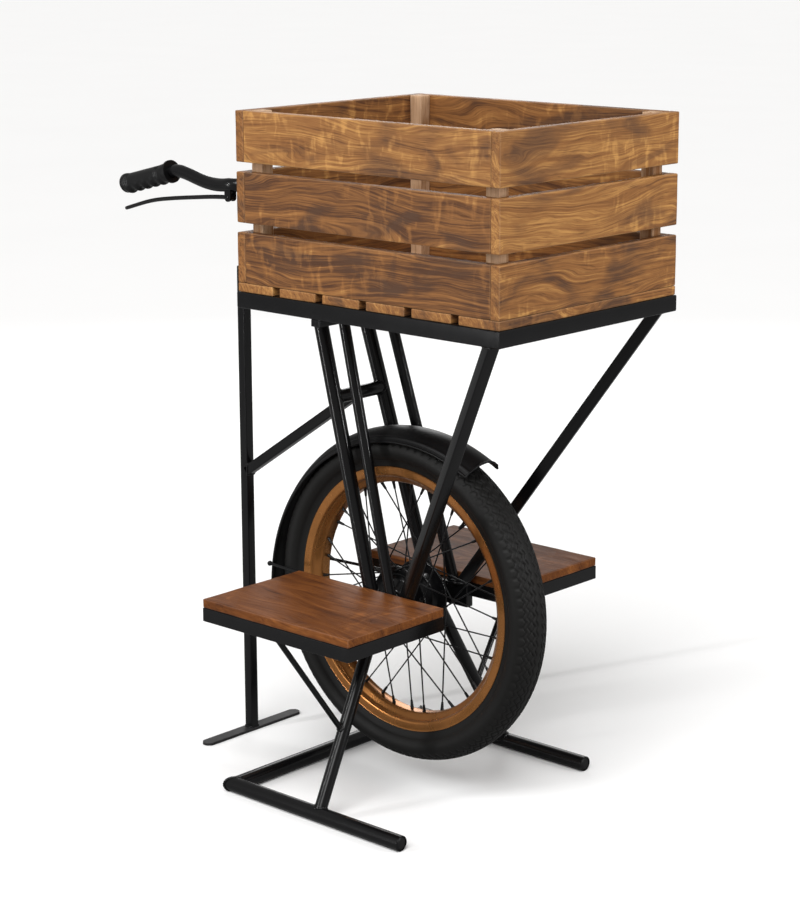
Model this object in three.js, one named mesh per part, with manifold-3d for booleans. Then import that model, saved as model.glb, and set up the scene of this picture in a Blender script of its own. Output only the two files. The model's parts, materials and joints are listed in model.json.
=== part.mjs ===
// Display cart: a slatted wooden crate on a welded steel frame, with a spoked front wheel held clear of
// the floor between two fork legs, a wooden side shelf on each side, a tube base, a rear leg, and a
// roadster handlebar with two rod levers.
// Millimetres. +Z up, +X the way the wheel faces, +Y the cart's left. Everything is laid out from the
// point on the floor below the wheel axle, and the whole cart is then shifted so that the origin is the
// middle of its footprint.
import * as THREE from "three";
import { mergeVertices } from "three/addons/utils/BufferGeometryUtils.js";
import Module from "manifold-3d";

const wasm = await Module();
wasm.setup();

// ---- driving dimensions -------------------------------------------------------------------------
const gap = 0.3; // clearance between pieces that touch
const proud = 1; // how far a cutting or joining piece passes the face it meets
const tubeSides = 24;
const hexSides = 6;

// crate
const crateLength = 566;
const crateWidth = 450;
const crateCentreX = 102; // crate centre ahead of the axle
const plankHeight = 84;
const plankThick = 18;
const plankSlot = 16; // open slot between planks
const planksHigh = 3;
const postSize = 25; // corner post inside the crate
const slatThick = 15;
const slatSlot = 15;
const slatCount = 6;

// top frame
const frameBottomZ = 857;
const railHeight = 27;
const railWidth = 27;
const frameOverhang = 1.5;
const crossBarWidth = 20;
const crossBarDrop = 12; // the bar hangs this far below the rails
const crossBarX = -2; // low bar ahead of the axle

// fork, crown, brace and diagonals
const legRadius = 12.5;
const slimRadius = 9.5;
const squareTube = 20;
const legTopY = 53.6;
const legBottomX = -25.7;
const legInset = 8.5; // leg's foot out from its axle bar's inner face
const slimTopX = -109.3;
const slimTopY = 55.2;
const slimBottomX = 29;
const crownRise = 42; // crown tube above the top of the mudguard
const crownRadius = 12;
const diagonalTopY = 211.5;
const diagonalBottomX = 55;
const crownShare = 0.5; // how far the crown reaches into a leg, by the leg's radius
const blankStretch = 1.2; // brace before trimming, by its length
const diagonalInset = 14.72; // diagonal's middle in from the shelf's inner edge, level with the board's top

// axle bar: the steel bar at each side that carries the axle
const wheelClearance = 50; // tyre clear of the floor
const axleRadius = 6;
const barInnerY = 64;
const barWidth = 16;
const barHeight = 40;
const barRearX = -44;
const barFrontX = 74;

// rear leg
const legTube = 18;
const rearLegReach = 220.5; // rear leg behind the top frame
const linkDrop = 5; // link bar's top below the top of the rails
const footLength = 244;
const footWidth = 25;
const footThick = 5;
const footCorner = 8;
const braceFall = 182;

// base
const baseRadius = 13.35;
const baseHalfWidth = 243.8; // middle of the floor to the axis of a side tube
const baseRearX = -194;
const baseFrontX = 200;
const tubeWall = 2;
const plugDepth = 3;

// struts and rods
const strutRadius = 11;
const strutFootX = 11;
const strutTopX = -9;
const strutTopOutset = 2; // strut's head out from the middle of its axle bar
const rodRadius = 5;
const rodX = -12;
const rodTopInset = 11; // rod to the shelf's outer edge
const rodFootZ = 139;

// side shelves
const shelfLength = 338;
const shelfWidth = 231;
const shelfCentreX = -12.3;
const shelfOutset = 10.4; // shelf's inner edge out from the axle bar
const shelfRise = 12; // board's top above the axle bar
const boardThick = 15.1;
const shelfFrameHeight = 24;
const shelfFrameWidth = 20;

// wheel
const tyreRadius = 290;
const tyreHalfWidth = 38.5;
const tyreWall = 8;
const tyreRise = 1; // widest part above the middle of the casing
const tyreAngles = [90, 65, 40, 15, -15, -40]; // points round the casing's side, in degrees
const beadSlack = 1;
const wheelSides = 48;
const rimLipRadius = 234.5;
const rimHalfWidth = 26;
const rimWellRadius = 204.5; // hub side of the well
const rimWellHalfWidth = 11;
const rimWall = 3;
const rimLipWall = 2.4;
const rimWellStep = 1.8; // inside of the well narrower than its outside
const rimDepth = 15; // lip to bead seat
const hubFlangeRadius = 60;
const hubFlangeInnerY = 25;
const hubFlangeThick = 4;
const hubBarrelRadius = 34;
const hubHalfLength = 44;
const hubEndRadius = 24;
const hubBore = 9;
const hubFlangeFootWidth = 4;
const hubFlangeFootHeight = 6;
const hubSides = 30;
const bearingRadius = 16;
const bearingWidth = 10;
const bearingSlack = 1; // counterbore deeper than the bearing
const spacerRadius = 10;
const nutRadius = 10;
const nutThick = 8;
const axleEndReach = 1; // axle's end past its nut
const spokeCount = 36;
const spokeRadius = 1.3;
const spokeSides = 4;
const spokeCircle = 54; // circle of the spoke heads on a flange
const spokeHeadY = 35;
const spokeStep = 2; // leading and trailing heads sit this far out and in
const nippleRadius = 2.6;
const nippleLength = 13;
const nippleOffsetY = 4;
const spokeCross = 55; // degrees that a spoke head leads or trails its nipple

// mudguard
const guardGap = 49; // guard's crown out from the tyre's radius
const guardCentreX = 17;
const guardCentreDrop = 35; // guard's centre below the axle
const guardSideGap = 2.5; // guard's side out from the tyre's
const guardDrop = 22; // crown to side edge
const guardThick = 2;
const guardFrontAngle = 63;
const guardRearAngle = 187;
const guardArchSteps = 6;
const guardCutSteps = 8;
const guardSides = 84;
const stayRadius = 2.8;
const staySides = 8;
const stayStandOff = 1; // stay out from the guard's side
const stayRise = 12; // stay above the axle
const rivetInset = 4.5; // guard's side edge to the stay's rivet
const rivetRadius = 4;
const rivetLength = 11;
const rivetHead = 2;
const rivetSides = 12;

// handlebar, grips and levers
const barTubeRadius = 11.1;
const gripLineY = 200;
const barStandOff = 0.6; // bar clear of its bracket's back plate
const barRise = 172; // bar above the top frame
const bendRadius = 30;
const quarterCurve = 0.5523; // control point of a quarter circle, by its radius
const sweepReach = 64; // how far the bar runs straight back out of its main bend
const sweepDrop = 11;
const gripLead = 40; // how far the bar runs straight into its grip
const barEndSlack = 2;
const barSides = 12;
const barSteps = 64;
const gripStartBack = 170; // grips begin this far behind the cross part
const gripStartRise = 12;
const gripLength = 129;
const gripFall = 14; // degrees that the grip falls towards its end
const gripRadius = 16;
const gripFlangeRadius = 19.5;
const gripFlangeThick = 5;
const gripFlangeSlope = 2;
const gripRound = 7; // length of the rounded end
const gripShoulder = 2;
const gripNose = 6; // end's flat face inside the grip's own radius
const gripSides = 18;
const gripEndWall = 6;
const clampY = 110;
const clampWidth = 30;
const clampHeight = 36;
const clampWall = 5;
const clampPlate = 2;
const leverRadius = 3.8;
const leverSides = 6;
const leverSteps = 14;
const leverRoute = [
  [-3, 0],
  [-37, -2],
  [-74, -5.5],
  [-150, -14],
  [-201, -22.5],
  [-264, -40],
]; // points on the lever's middle line, ahead of and above its pivot
const leverPivotBack = 27;
const leverPivotDrop = 9.9; // lever's pivot below the bar's underside
const leverEyeRadius = 6;
const leverEyeHalf = 3.8;
const leverPinRadius = 2.6;
const leverPinHalf = 8.4;
const lugGap = 4.2; // lever centre to a lug's inner face
const lugThick = 3;
const lugHalf = 7;
const lugHole = 3;

// ---- sizes that follow ---------------------------------------------------------------------------
const crateRear = crateCentreX - crateLength / 2;
const crateFront = crateCentreX + crateLength / 2;
const frameTopZ = frameBottomZ + railHeight;
const frameRear = crateRear - frameOverhang;
const frameFront = crateFront + frameOverhang;
const frameHalfWidth = crateWidth / 2 + frameOverhang;
const slatBottomZ = frameTopZ + gap;
const slatTopZ = slatBottomZ + slatThick;
const plankPitch = plankHeight + plankSlot;
const plankZ = (row) => slatTopZ + gap + row * plankPitch;
const crateTopZ = plankZ(planksHigh - 1) + plankHeight;
const axleZ = tyreRadius + wheelClearance;
const barTopZ = axleZ + barHeight / 2;
const barBottomZ = axleZ - barHeight / 2;
const legTopX = frameRear + railWidth / 2;
const diagonalTopX = frameFront - railWidth - 1;
const shelfTopZ = barTopZ + shelfRise;
const shelfInnerY = barInnerY + barWidth + shelfOutset;
const legBottomY = barInnerY + legInset;
const guardRadius = tyreRadius + guardGap;
const guardHalfWidth = tyreHalfWidth + guardSideGap;
const guardCentreZ = axleZ - guardCentreDrop;
const stayZ = axleZ + stayRise;
const crownZ = guardCentreZ + guardRadius + crownRise;
const braceFootZ = crownZ - braceFall;
const rearLegX = frameRear - rearLegReach;
const rearLegTopZ = frameTopZ - linkDrop;
const clampBarX = crateRear - gap - clampPlate - barStandOff - barTubeRadius;
const clampBarZ = frameTopZ + barRise;
const diagonalShare = (shelfTopZ - barTopZ - gap) / (frameBottomZ - barTopZ - 2 * gap);
const diagonalBottomY =
  (shelfInnerY - diagonalInset - diagonalShare * diagonalTopY) / (1 - diagonalShare);
const gripStart = new THREE.Vector3(clampBarX - gripStartBack, gripLineY, clampBarZ + gripStartRise);
const gripBore = barTubeRadius + gap;
const leverPivotX = clampBarX - leverPivotBack;
const leverPivotZ = clampBarZ - barTubeRadius - leverPivotDrop;
const shelfFrameTopZ = shelfTopZ - boardThick - gap;
const shelfFrameBottomZ = shelfFrameTopZ - shelfFrameHeight;
const slimBottomY = shelfInnerY - gap - slimRadius;
const gripDirection = new THREE.Vector3(
  -Math.cos(THREE.MathUtils.degToRad(gripFall)),
  0,
  -Math.sin(THREE.MathUtils.degToRad(gripFall)),
);

// ---- materials -----------------------------------------------------------------------------------
const material = (color, roughness, metalness) => () =>
  new THREE.MeshStandardMaterial({ color, roughness, metalness });
const crateWood = material(0xb07c48, 0.55, 0);
const shelfWood = material(0x9c5f37, 0.5, 0);
const blackSteel = material(0x1c1c1e, 0.4, 0.3);
const blackRubber = material(0x1b1b1b, 0.8, 0);
const goldPaint = material(0xb5773a, 0.35, 0.6);
const bareSteel = material(0x8a8c90, 0.3, 1);

// ---- geometry helpers ----------------------------------------------------------------------------
// A closed three.js geometry as a solid.
function solid(geometry) {
  const bare = geometry.index ? geometry.toNonIndexed() : geometry.clone();
  bare.deleteAttribute("normal");
  bare.deleteAttribute("uv");
  const merged = mergeVertices(bare, 1e-4);
  return new wasm.Manifold(
    new wasm.Mesh({
      numProp: 3,
      vertProperties: merged.attributes.position.array,
      triVerts: new Uint32Array(merged.index.array),
    }),
  );
}

// A solid as a three.js geometry.
function geometryOf(shape) {
  const mesh = shape.getMesh();
  const geometry = new THREE.BufferGeometry();
  geometry.setAttribute("position", new THREE.BufferAttribute(mesh.vertProperties.slice(), 3));
  geometry.setIndex(new THREE.BufferAttribute(mesh.triVerts.slice(), 1));
  return geometry;
}

// A box between two corners.
function box(x0, x1, y0, y1, z0, z1) {
  const geometry = new THREE.BoxGeometry(x1 - x0, y1 - y0, z1 - z0);
  return geometry.translate((x0 + x1) / 2, (y0 + y1) / 2, (z0 + z1) / 2);
}

// A round bar from one point to another, cut square at its ends.
function rod(from, to, radius, sides = tubeSides) {
  const along = new THREE.Vector3().subVectors(to, from);
  const geometry = new THREE.CylinderGeometry(radius, radius, along.length(), sides);
  const turn = new THREE.Quaternion().setFromUnitVectors(
    new THREE.Vector3(0, 1, 0),
    along.clone().normalize(),
  );
  const middle = new THREE.Vector3().addVectors(from, to).multiplyScalar(0.5);
  return geometry.applyQuaternion(turn).translate(middle.x, middle.y, middle.z);
}

// A leaning tube whose two ends are cut level. The level section is the tube's own section stretched
// along the lean, and each higher section is moved along with it.
function leaningTube(section, bottom, top) {
  const rise = top.z - bottom.z;
  const lean = new THREE.Vector2(top.x - bottom.x, top.y - bottom.y);
  const stretch = Math.hypot(lean.length(), rise) / rise;
  const geometry = section(rise).scale(stretch, 1, 1).rotateZ(lean.angle());
  const shear = new THREE.Matrix4().makeShear(0, 0, 0, 0, lean.x / rise, lean.y / rise);
  return geometry.applyMatrix4(shear).translate(bottom.x, bottom.y, bottom.z);
}

function roundSection(radius) {
  return (rise) => {
    const tube = new THREE.CylinderGeometry(radius, radius, rise, tubeSides);
    return tube.rotateX(Math.PI / 2).translate(0, 0, rise / 2);
  };
}

function squareSection(side) {
  return (rise) => new THREE.BoxGeometry(side, side, rise).translate(0, 0, rise / 2);
}

// A closed profile of [radius, y] points turned about the Y axis.
function turned(profile, segments) {
  const points = profile.map(([radius, y]) => new THREE.Vector2(radius, y));
  return new THREE.LatheGeometry(points, segments);
}

// A round section carried along a curve.
function sweep(curve, radius, sides, steps) {
  const shape = new THREE.Shape();
  for (let i = 0; i < sides; i++) {
    const angle = (2 * Math.PI * i) / sides;
    const x = radius * Math.cos(angle);
    const y = radius * Math.sin(angle);
    if (i === 0) shape.moveTo(x, y);
    else shape.lineTo(x, y);
  }
  shape.closePath();
  return new THREE.ExtrudeGeometry(shape, { steps, extrudePath: curve, bevelEnabled: false });
}

const at = (x, y, z) => new THREE.Vector3(x, y, z);
const mirrored = (point, side) => at(point.x, point.y * side, point.z);

const cart = new THREE.Group();

function add(name, geometry, makeMaterial, parent = cart) {
  const mesh = new THREE.Mesh(geometry, makeMaterial());
  mesh.name = name;
  parent.add(mesh);
  return mesh;
}

const sides = [
  ["left", 1],
  ["right", -1],
];

// ---- crate ---------------------------------------------------------------------------------------
function buildCrate() {
  const halfWidth = crateWidth / 2;
  const rows = ["lower", "middle", "upper"];
  for (let row = 0; row < planksHigh; row++) {
    const z0 = plankZ(row);
    const z1 = z0 + plankHeight;
    for (const [name, x0] of [
      ["front", crateFront - plankThick],
      ["rear", crateRear],
    ]) {
      add(`${name}_plank_${rows[row]}`, box(x0, x0 + plankThick, -halfWidth, halfWidth, z0, z1), crateWood);
    }
    const sideRear = crateRear + plankThick + gap;
    const sideFront = crateFront - plankThick - gap;
    for (const [name, side] of sides) {
      const outer = side * halfWidth;
      const inner = side * (halfWidth - plankThick);
      const [y0, y1] = [Math.min(outer, inner), Math.max(outer, inner)];
      add(`${name}_plank_${rows[row]}`, box(sideRear, sideFront, y0, y1, z0, z1), crateWood);
    }
  }
  const slatWidth = (crateLength - (slatCount - 1) * slatSlot) / slatCount;
  for (let i = 0; i < slatCount; i++) {
    const x0 = crateRear + i * (slatWidth + slatSlot);
    const slat = box(x0, x0 + slatWidth, -halfWidth, halfWidth, slatBottomZ, slatTopZ);
    add(`floor_slat_${i + 1}`, slat, crateWood);
  }
  const inset = plankThick + gap;
  for (const [end, x0] of [
    ["front", crateFront - inset - postSize],
    ["rear", crateRear + inset],
  ]) {
    for (const [name, side] of sides) {
      const outer = side * (halfWidth - inset);
      const inner = side * (halfWidth - inset - postSize);
      const [y0, y1] = [Math.min(outer, inner), Math.max(outer, inner)];
      const post = box(x0, x0 + postSize, y0, y1, slatTopZ + gap, crateTopZ);
      add(`corner_post_${end}_${name}`, post, crateWood);
    }
  }
}

// ---- top frame -----------------------------------------------------------------------------------
// Four rails in one welded rectangle, a cross member between the side rails over the slim fork tubes,
// and a lower bar under the side rails.
function buildTopFrame() {
  const outer = solid(
    box(frameRear, frameFront, -frameHalfWidth, frameHalfWidth, frameBottomZ, frameTopZ),
  );
  const innerHalf = frameHalfWidth - railWidth;
  const inner = solid(
    box(
      frameRear + railWidth,
      frameFront - railWidth,
      -innerHalf,
      innerHalf,
      frameBottomZ - proud,
      frameTopZ + proud,
    ),
  );
  const member = solid(
    box(
      slimTopX - railWidth / 2,
      slimTopX + railWidth / 2,
      -innerHalf - proud,
      innerHalf + proud,
      frameBottomZ,
      frameTopZ,
    ),
  );
  const lowBar = solid(
    box(
      crossBarX - crossBarWidth / 2,
      crossBarX + crossBarWidth / 2,
      -frameHalfWidth,
      frameHalfWidth,
      frameBottomZ - crossBarDrop,
      frameBottomZ + proud,
    ),
  );
  add("top_frame", geometryOf(outer.subtract(inner).add(member).add(lowBar)), blackSteel);
}

// ---- fork ----------------------------------------------------------------------------------------
const legBottom = (side) => at(legBottomX, side * legBottomY, barTopZ + gap);
const legTop = (side) => at(legTopX, side * legTopY, frameBottomZ - gap);
// The point on a fork leg's axis at a height.
function onLeg(side, z) {
  const bottom = legBottom(side);
  const top = legTop(side);
  return bottom.clone().lerp(top, (z - bottom.z) / (top.z - bottom.z));
}

function buildFork() {
  for (const [name, side] of sides) {
    add(`fork_leg_${name}`, leaningTube(roundSection(legRadius), legBottom(side), legTop(side)), blackSteel);
    const slimBottom = at(slimBottomX, side * slimBottomY, barTopZ + gap);
    const slimTop = at(slimTopX, side * slimTopY, frameBottomZ - gap);
    const slim = leaningTube(roundSection(slimRadius), slimBottom, slimTop);
    add(`fork_side_tube_${name}`, slim, blackSteel);
    const diagonalBottom = at(diagonalBottomX, side * diagonalBottomY, barTopZ + gap);
    const diagonalTop = at(diagonalTopX, side * diagonalTopY, frameBottomZ - gap);
    const diagonal = leaningTube(squareSection(squareTube), diagonalBottom, diagonalTop);
    add(`front_diagonal_${name}`, diagonal, blackSteel);
  }
  // Crown tube between the legs with the brace to the rear leg welded to its middle.
  const left = onLeg(1, crownZ);
  let crown = solid(rod(left, mirrored(left, -1), crownRadius));
  const braceRear = rearLegX + legTube / 2 + gap;
  const run = left.x - braceRear;
  const fall = crownZ - braceFootZ;
  const braceLength = Math.hypot(run, fall);
  const brace = new THREE.BoxGeometry(braceLength * blankStretch, legTube, legTube);
  brace.rotateY(-Math.atan2(fall, run));
  brace.translate((left.x + braceRear) / 2, 0, (crownZ + braceFootZ) / 2);
  const keep = solid(
    box(braceRear, left.x, -legTube, legTube, crownZ - braceLength, crownZ + braceLength),
  );
  crown = crown.add(solid(brace).intersect(keep));
  for (const [, side] of sides) {
    crown = crown.subtract(solid(rod(legBottom(side), legTop(side), legRadius + gap)));
  }
  // What is left outside the legs' bores is cut away with them.
  const halfSpan = left.y - legRadius * crownShare;
  const between = solid(
    box(rearLegX, frameFront, -halfSpan, halfSpan, braceFootZ - braceLength, frameTopZ),
  );
  crown = crown.intersect(between);
  add("fork_crown_and_brace", geometryOf(crown), blackSteel);
}

// ---- axle bars -----------------------------------------------------------------------------------
function buildAxleBars() {
  for (const [name, side] of sides) {
    const y0 = Math.min(side * barInnerY, side * (barInnerY + barWidth));
    const bar = solid(box(barRearX, barFrontX, y0, y0 + barWidth, barBottomZ, barTopZ));
    const [from, to] = [at(0, y0 - proud, axleZ), at(0, y0 + barWidth + proud, axleZ)];
    const hole = rod(from, to, axleRadius + gap);
    add(`axle_bar_${name}`, geometryOf(bar.subtract(solid(hole))), blackSteel);
  }
}

// ---- rear leg ------------------------------------------------------------------------------------
function buildRearLeg() {
  const half = legTube / 2;
  const post = solid(
    box(rearLegX - half, rearLegX + half, -half, half, footThick - proud, rearLegTopZ),
  );
  const outline = new THREE.Shape();
  const [w, l, c] = [footWidth / 2, footLength / 2, footCorner];
  outline.moveTo(-w, -l + c);
  outline.lineTo(-w + c, -l);
  outline.lineTo(w - c, -l);
  outline.lineTo(w, -l + c);
  outline.lineTo(w, l - c);
  outline.lineTo(w - c, l);
  outline.lineTo(-w + c, l);
  outline.lineTo(-w, l - c);
  outline.closePath();
  const foot = new THREE.ExtrudeGeometry(outline, { depth: footThick, bevelEnabled: false });
  foot.translate(rearLegX, 0, 0);
  const link = box(rearLegX, frameRear - gap, -half, half, rearLegTopZ - legTube, rearLegTopZ);
  add("rear_leg", geometryOf(post.add(solid(foot)).add(solid(link))), blackSteel);
}

// ---- base ----------------------------------------------------------------------------------------
// A U of round tube: two side tubes and a cross tube with mitred corners, plugged at the front ends.
function buildBase() {
  const reach = 2 * baseRadius;
  for (const [name, side] of sides) {
    const y = side * baseHalfWidth;
    const tube = rod(at(baseRearX - reach, y, baseRadius), at(baseFrontX, y, baseRadius), baseRadius);
    const recess = rod(
      at(baseFrontX - plugDepth, y, baseRadius),
      at(baseFrontX + proud, y, baseRadius),
      baseRadius - tubeWall,
    );
    const corner = new THREE.Shape();
    corner.moveTo(baseRearX - reach + gap, y + side * reach);
    corner.lineTo(baseRearX + reach + gap, y - side * reach);
    corner.lineTo(baseRearX - 2 * reach, y - side * reach);
    corner.lineTo(baseRearX - 2 * reach, y + side * reach);
    corner.closePath();
    const mitre = new THREE.ExtrudeGeometry(corner, { depth: reach * 2, bevelEnabled: false });
    mitre.translate(0, 0, -baseRadius);
    const cut = solid(tube).subtract(solid(recess)).subtract(solid(mitre));
    add(`base_side_tube_${name}`, geometryOf(cut), blackSteel);
  }
  let cross = solid(
    rod(
      at(baseRearX, -baseHalfWidth - reach, baseRadius),
      at(baseRearX, baseHalfWidth + reach, baseRadius),
      baseRadius,
    ),
  );
  for (const [, side] of sides) {
    const y = side * baseHalfWidth;
    const corner = new THREE.Shape();
    corner.moveTo(baseRearX - reach, y + side * reach);
    corner.lineTo(baseRearX + reach, y - side * reach);
    corner.lineTo(baseRearX + 2 * reach, y - side * reach);
    corner.lineTo(baseRearX + 2 * reach, y + side * 2 * reach);
    corner.lineTo(baseRearX - reach, y + side * 2 * reach);
    corner.closePath();
    const mitre = new THREE.ExtrudeGeometry(corner, { depth: reach * 2, bevelEnabled: false });
    mitre.translate(0, 0, -baseRadius);
    cross = cross.subtract(solid(mitre));
  }
  add("base_cross_tube", geometryOf(cross), blackSteel);
}

// ---- struts and rods -----------------------------------------------------------------------------
const strutBottom = (side) => at(strutFootX, side * baseHalfWidth, baseRadius);
const strutTopY = barInnerY + barWidth / 2 + strutTopOutset;
const strutTop = (side) => at(strutTopX, side * strutTopY, barBottomZ - gap);

function buildStruts() {
  for (const [name, side] of sides) {
    const bottom = strutBottom(side);
    const top = strutTop(side);
    const y = side * baseHalfWidth;
    const seat = rod(at(baseRearX, y, baseRadius), at(baseFrontX, y, baseRadius), baseRadius + gap);
    const strut = solid(leaningTube(roundSection(strutRadius), bottom, top)).subtract(solid(seat));
    add(`strut_${name}`, geometryOf(strut), blackSteel);
    const rodTopY = side * (shelfInnerY + shelfWidth - rodTopInset);
    const rodTop = at(rodX, rodTopY, shelfFrameBottomZ - gap);
    const meet = bottom.clone().lerp(top, (rodFootZ - bottom.z) / (top.z - bottom.z));
    const stay = solid(leaningTube(roundSection(rodRadius), meet, rodTop));
    const saddle = solid(rod(bottom, top, strutRadius + gap));
    add(`shelf_rod_${name}`, geometryOf(stay.subtract(saddle)), blackSteel);
  }
}

// ---- shelves -------------------------------------------------------------------------------------
function buildShelves() {
  const x0 = shelfCentreX - shelfLength / 2;
  const x1 = shelfCentreX + shelfLength / 2;
  for (const [name, side] of sides) {
    const inner = side * shelfInnerY;
    const outer = side * (shelfInnerY + shelfWidth);
    const [y0, y1] = [Math.min(inner, outer), Math.max(inner, outer)];
    add(`shelf_board_${name}`, box(x0, x1, y0, y1, shelfTopZ - boardThick, shelfTopZ), shelfWood);
    const ring = solid(box(x0, x1, y0, y1, shelfFrameBottomZ, shelfFrameTopZ));
    const hole = box(
      x0 + shelfFrameWidth,
      x1 - shelfFrameWidth,
      y0 + shelfFrameWidth,
      y1 - shelfFrameWidth,
      shelfFrameBottomZ - proud,
      shelfFrameTopZ + proud,
    );
    add(`shelf_frame_${name}`, geometryOf(ring.subtract(solid(hole))), blackSteel);
  }
}

// ---- wheel ---------------------------------------------------------------------------------------
function buildWheel() {
  const wheel = new THREE.Group();
  wheel.position.z = axleZ;
  cart.add(wheel);

  // Rim: lips, bead seats and a well, one wall thick.
  const seatRadius = rimLipRadius - rimDepth;
  const rimHalf = [
    [rimWellRadius, 0],
    [rimWellRadius, rimWellHalfWidth],
    [seatRadius - rimWall, rimHalfWidth - 2 * rimWall],
    [seatRadius, rimHalfWidth],
    [rimLipRadius, rimHalfWidth],
    [rimLipRadius, rimHalfWidth - rimLipWall],
    [seatRadius + rimWall, rimHalfWidth - rimWall],
    [seatRadius, rimHalfWidth - 2 * rimWall],
    [rimWellRadius + rimWall, rimWellHalfWidth - rimWellStep],
    [rimWellRadius + rimWall, 0],
  ];
  add("rim", closedRing(rimHalf, wheelSides), goldPaint, wheel);

  // Tyre: a round-shouldered casing over the lips with its beads on the seats.
  const beadY = rimHalfWidth - rimWall - gap - beadSlack;
  const beadRadius = seatRadius + rimWall + gap;
  const bulgeRadius = (tyreRadius + rimLipRadius) / 2 + tyreRise;
  const outerArc = [];
  const innerArc = [];
  for (const degrees of tyreAngles) {
    const angle = THREE.MathUtils.degToRad(degrees);
    const shoulder = Math.cos(angle);
    const radial = Math.sin(angle) * (tyreRadius - bulgeRadius);
    outerArc.push([bulgeRadius + radial, tyreHalfWidth * shoulder]);
    innerArc.unshift([
      bulgeRadius + Math.sin(angle) * (tyreRadius - tyreWall - bulgeRadius),
      (tyreHalfWidth - tyreWall) * shoulder,
    ]);
  }
  const tyreHalf = [
    ...outerArc,
    [rimLipRadius + gap + beadSlack, rimHalfWidth],
    [rimLipRadius + gap, beadY],
    [beadRadius, beadY],
    [beadRadius, beadY - tyreWall],
    ...innerArc,
  ];
  add("tyre", closedRing(tyreHalf, wheelSides), blackRubber, wheel);

  // Hub shell: two flanges on a barrel, bored for the axle and counterbored for the bearings.
  const flangeOuterY = hubFlangeInnerY + hubFlangeThick;
  const bearingSeatY = hubHalfLength - bearingWidth - bearingSlack;
  const hubHalf = [
    [hubBarrelRadius, 0],
    [hubBarrelRadius, hubFlangeInnerY - hubFlangeFootWidth],
    [hubBarrelRadius + hubFlangeFootHeight, hubFlangeInnerY],
    [hubFlangeRadius, hubFlangeInnerY],
    [hubFlangeRadius, flangeOuterY],
    [hubBarrelRadius, flangeOuterY],
    [hubEndRadius, hubHalfLength],
    [bearingRadius + gap, hubHalfLength],
    [bearingRadius + gap, bearingSeatY],
    [hubBore, bearingSeatY],
    [hubBore, 0],
  ];
  add("hub_shell", closedRing(hubHalf, hubSides), blackSteel, wheel);
  for (const [name, side] of sides) {
    const y0 = side * (bearingSeatY + gap);
    const y1 = y0 + side * bearingWidth;
    const ring = [
      [axleRadius + gap, y0],
      [bearingRadius, y0],
      [bearingRadius, y1],
      [axleRadius + gap, y1],
      [axleRadius + gap, y0],
    ];
    add(`hub_bearing_${name}`, facingOut(turned(ring, tubeSides)), bareSteel, wheel);
  }

  // Spokes: each side's heads share one wire ring on the flange, and lead or trail by turns.
  for (const [name, side] of sides) {
    add(`spokes_${name}`, geometryOf(spokeSet(side)), blackSteel, wheel);
  }

  // Axle with its spacers and end nuts.
  const spacerInnerY = hubHalfLength + gap;
  const spacerOuterY = barInnerY - gap;
  const nutInnerY = barInnerY + barWidth + gap;
  const nutOuterY = nutInnerY + nutThick;
  const endY = nutOuterY + axleEndReach;
  let axle = solid(rod(at(0, -endY, 0), at(0, endY, 0), axleRadius));
  for (const [, side] of sides) {
    axle = axle.add(
      solid(rod(at(0, side * spacerInnerY, 0), at(0, side * spacerOuterY, 0), spacerRadius)),
    );
    axle = axle.add(
      solid(rod(at(0, side * nutInnerY, 0), at(0, side * nutOuterY, 0), nutRadius, hexSides)),
    );
  }
  add("axle", geometryOf(axle), bareSteel, wheel);
}

// A half profile, given from its middle plane outwards and back, mirrored and turned into a ring.
function closedRing(half, segments) {
  const other = half.map(([radius, y]) => [radius, -y]).reverse();
  const profile = [...half, ...other].filter(
    ([radius, y], i, all) => i === 0 || Math.hypot(radius - all[i - 1][0], y - all[i - 1][1]) > 1e-6,
  );
  const [first, last] = [profile[0], profile[profile.length - 1]];
  if (Math.hypot(first[0] - last[0], first[1] - last[1]) > 1e-6) profile.push(first);
  return facingOut(turned(profile, segments));
}

// Turns a closed geometry's faces outwards.
function facingOut(geometry) {
  const shape = solid(geometry);
  if (shape.volume() >= 0) return geometry;
  const index = geometry.index.array;
  for (let i = 0; i < index.length; i += 3) [index[i + 1], index[i + 2]] = [index[i + 2], index[i + 1]];
  return geometry;
}

function spokeSet(side) {
  const perSide = spokeCount / 2;
  const wire = spokeStep + spokeRadius;
  const ring = Array.from({ length: spokeSides + 1 }, (_, i) => {
    const angle = (2 * Math.PI * i) / spokeSides;
    return [spokeCircle + wire * Math.cos(angle), side * spokeHeadY + wire * Math.sin(angle)];
  });
  let set = solid(facingOut(turned(ring, hubSides)));
  const rimEnd = rimWellRadius - 2 * gap;
  for (let i = 0; i < perSide; i++) {
    const lead = i % 2 === 0 ? 1 : -1;
    const rimAngle = THREE.MathUtils.degToRad(((i + (side > 0 ? 0.5 : 0)) * 360) / perSide);
    const hubAngle = rimAngle + THREE.MathUtils.degToRad(lead * spokeCross);
    const onCircle = (radius, angle, y) => at(radius * Math.cos(angle), y, radius * Math.sin(angle));
    const head = onCircle(spokeCircle, hubAngle, side * (spokeHeadY + lead * spokeStep));
    const end = onCircle(rimEnd, rimAngle, side * nippleOffsetY);
    const along = new THREE.Vector3().subVectors(head, end).normalize();
    const nippleTop = end.clone().addScaledVector(along, nippleLength);
    const nippleFoot = end.clone().addScaledVector(along, nippleRadius * Math.abs(along.y) + gap);
    set = set.add(solid(rod(head, nippleFoot, spokeRadius, spokeSides)));
    set = set.add(solid(rod(nippleFoot, nippleTop, nippleRadius, hexSides)));
  }
  return set;
}

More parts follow.
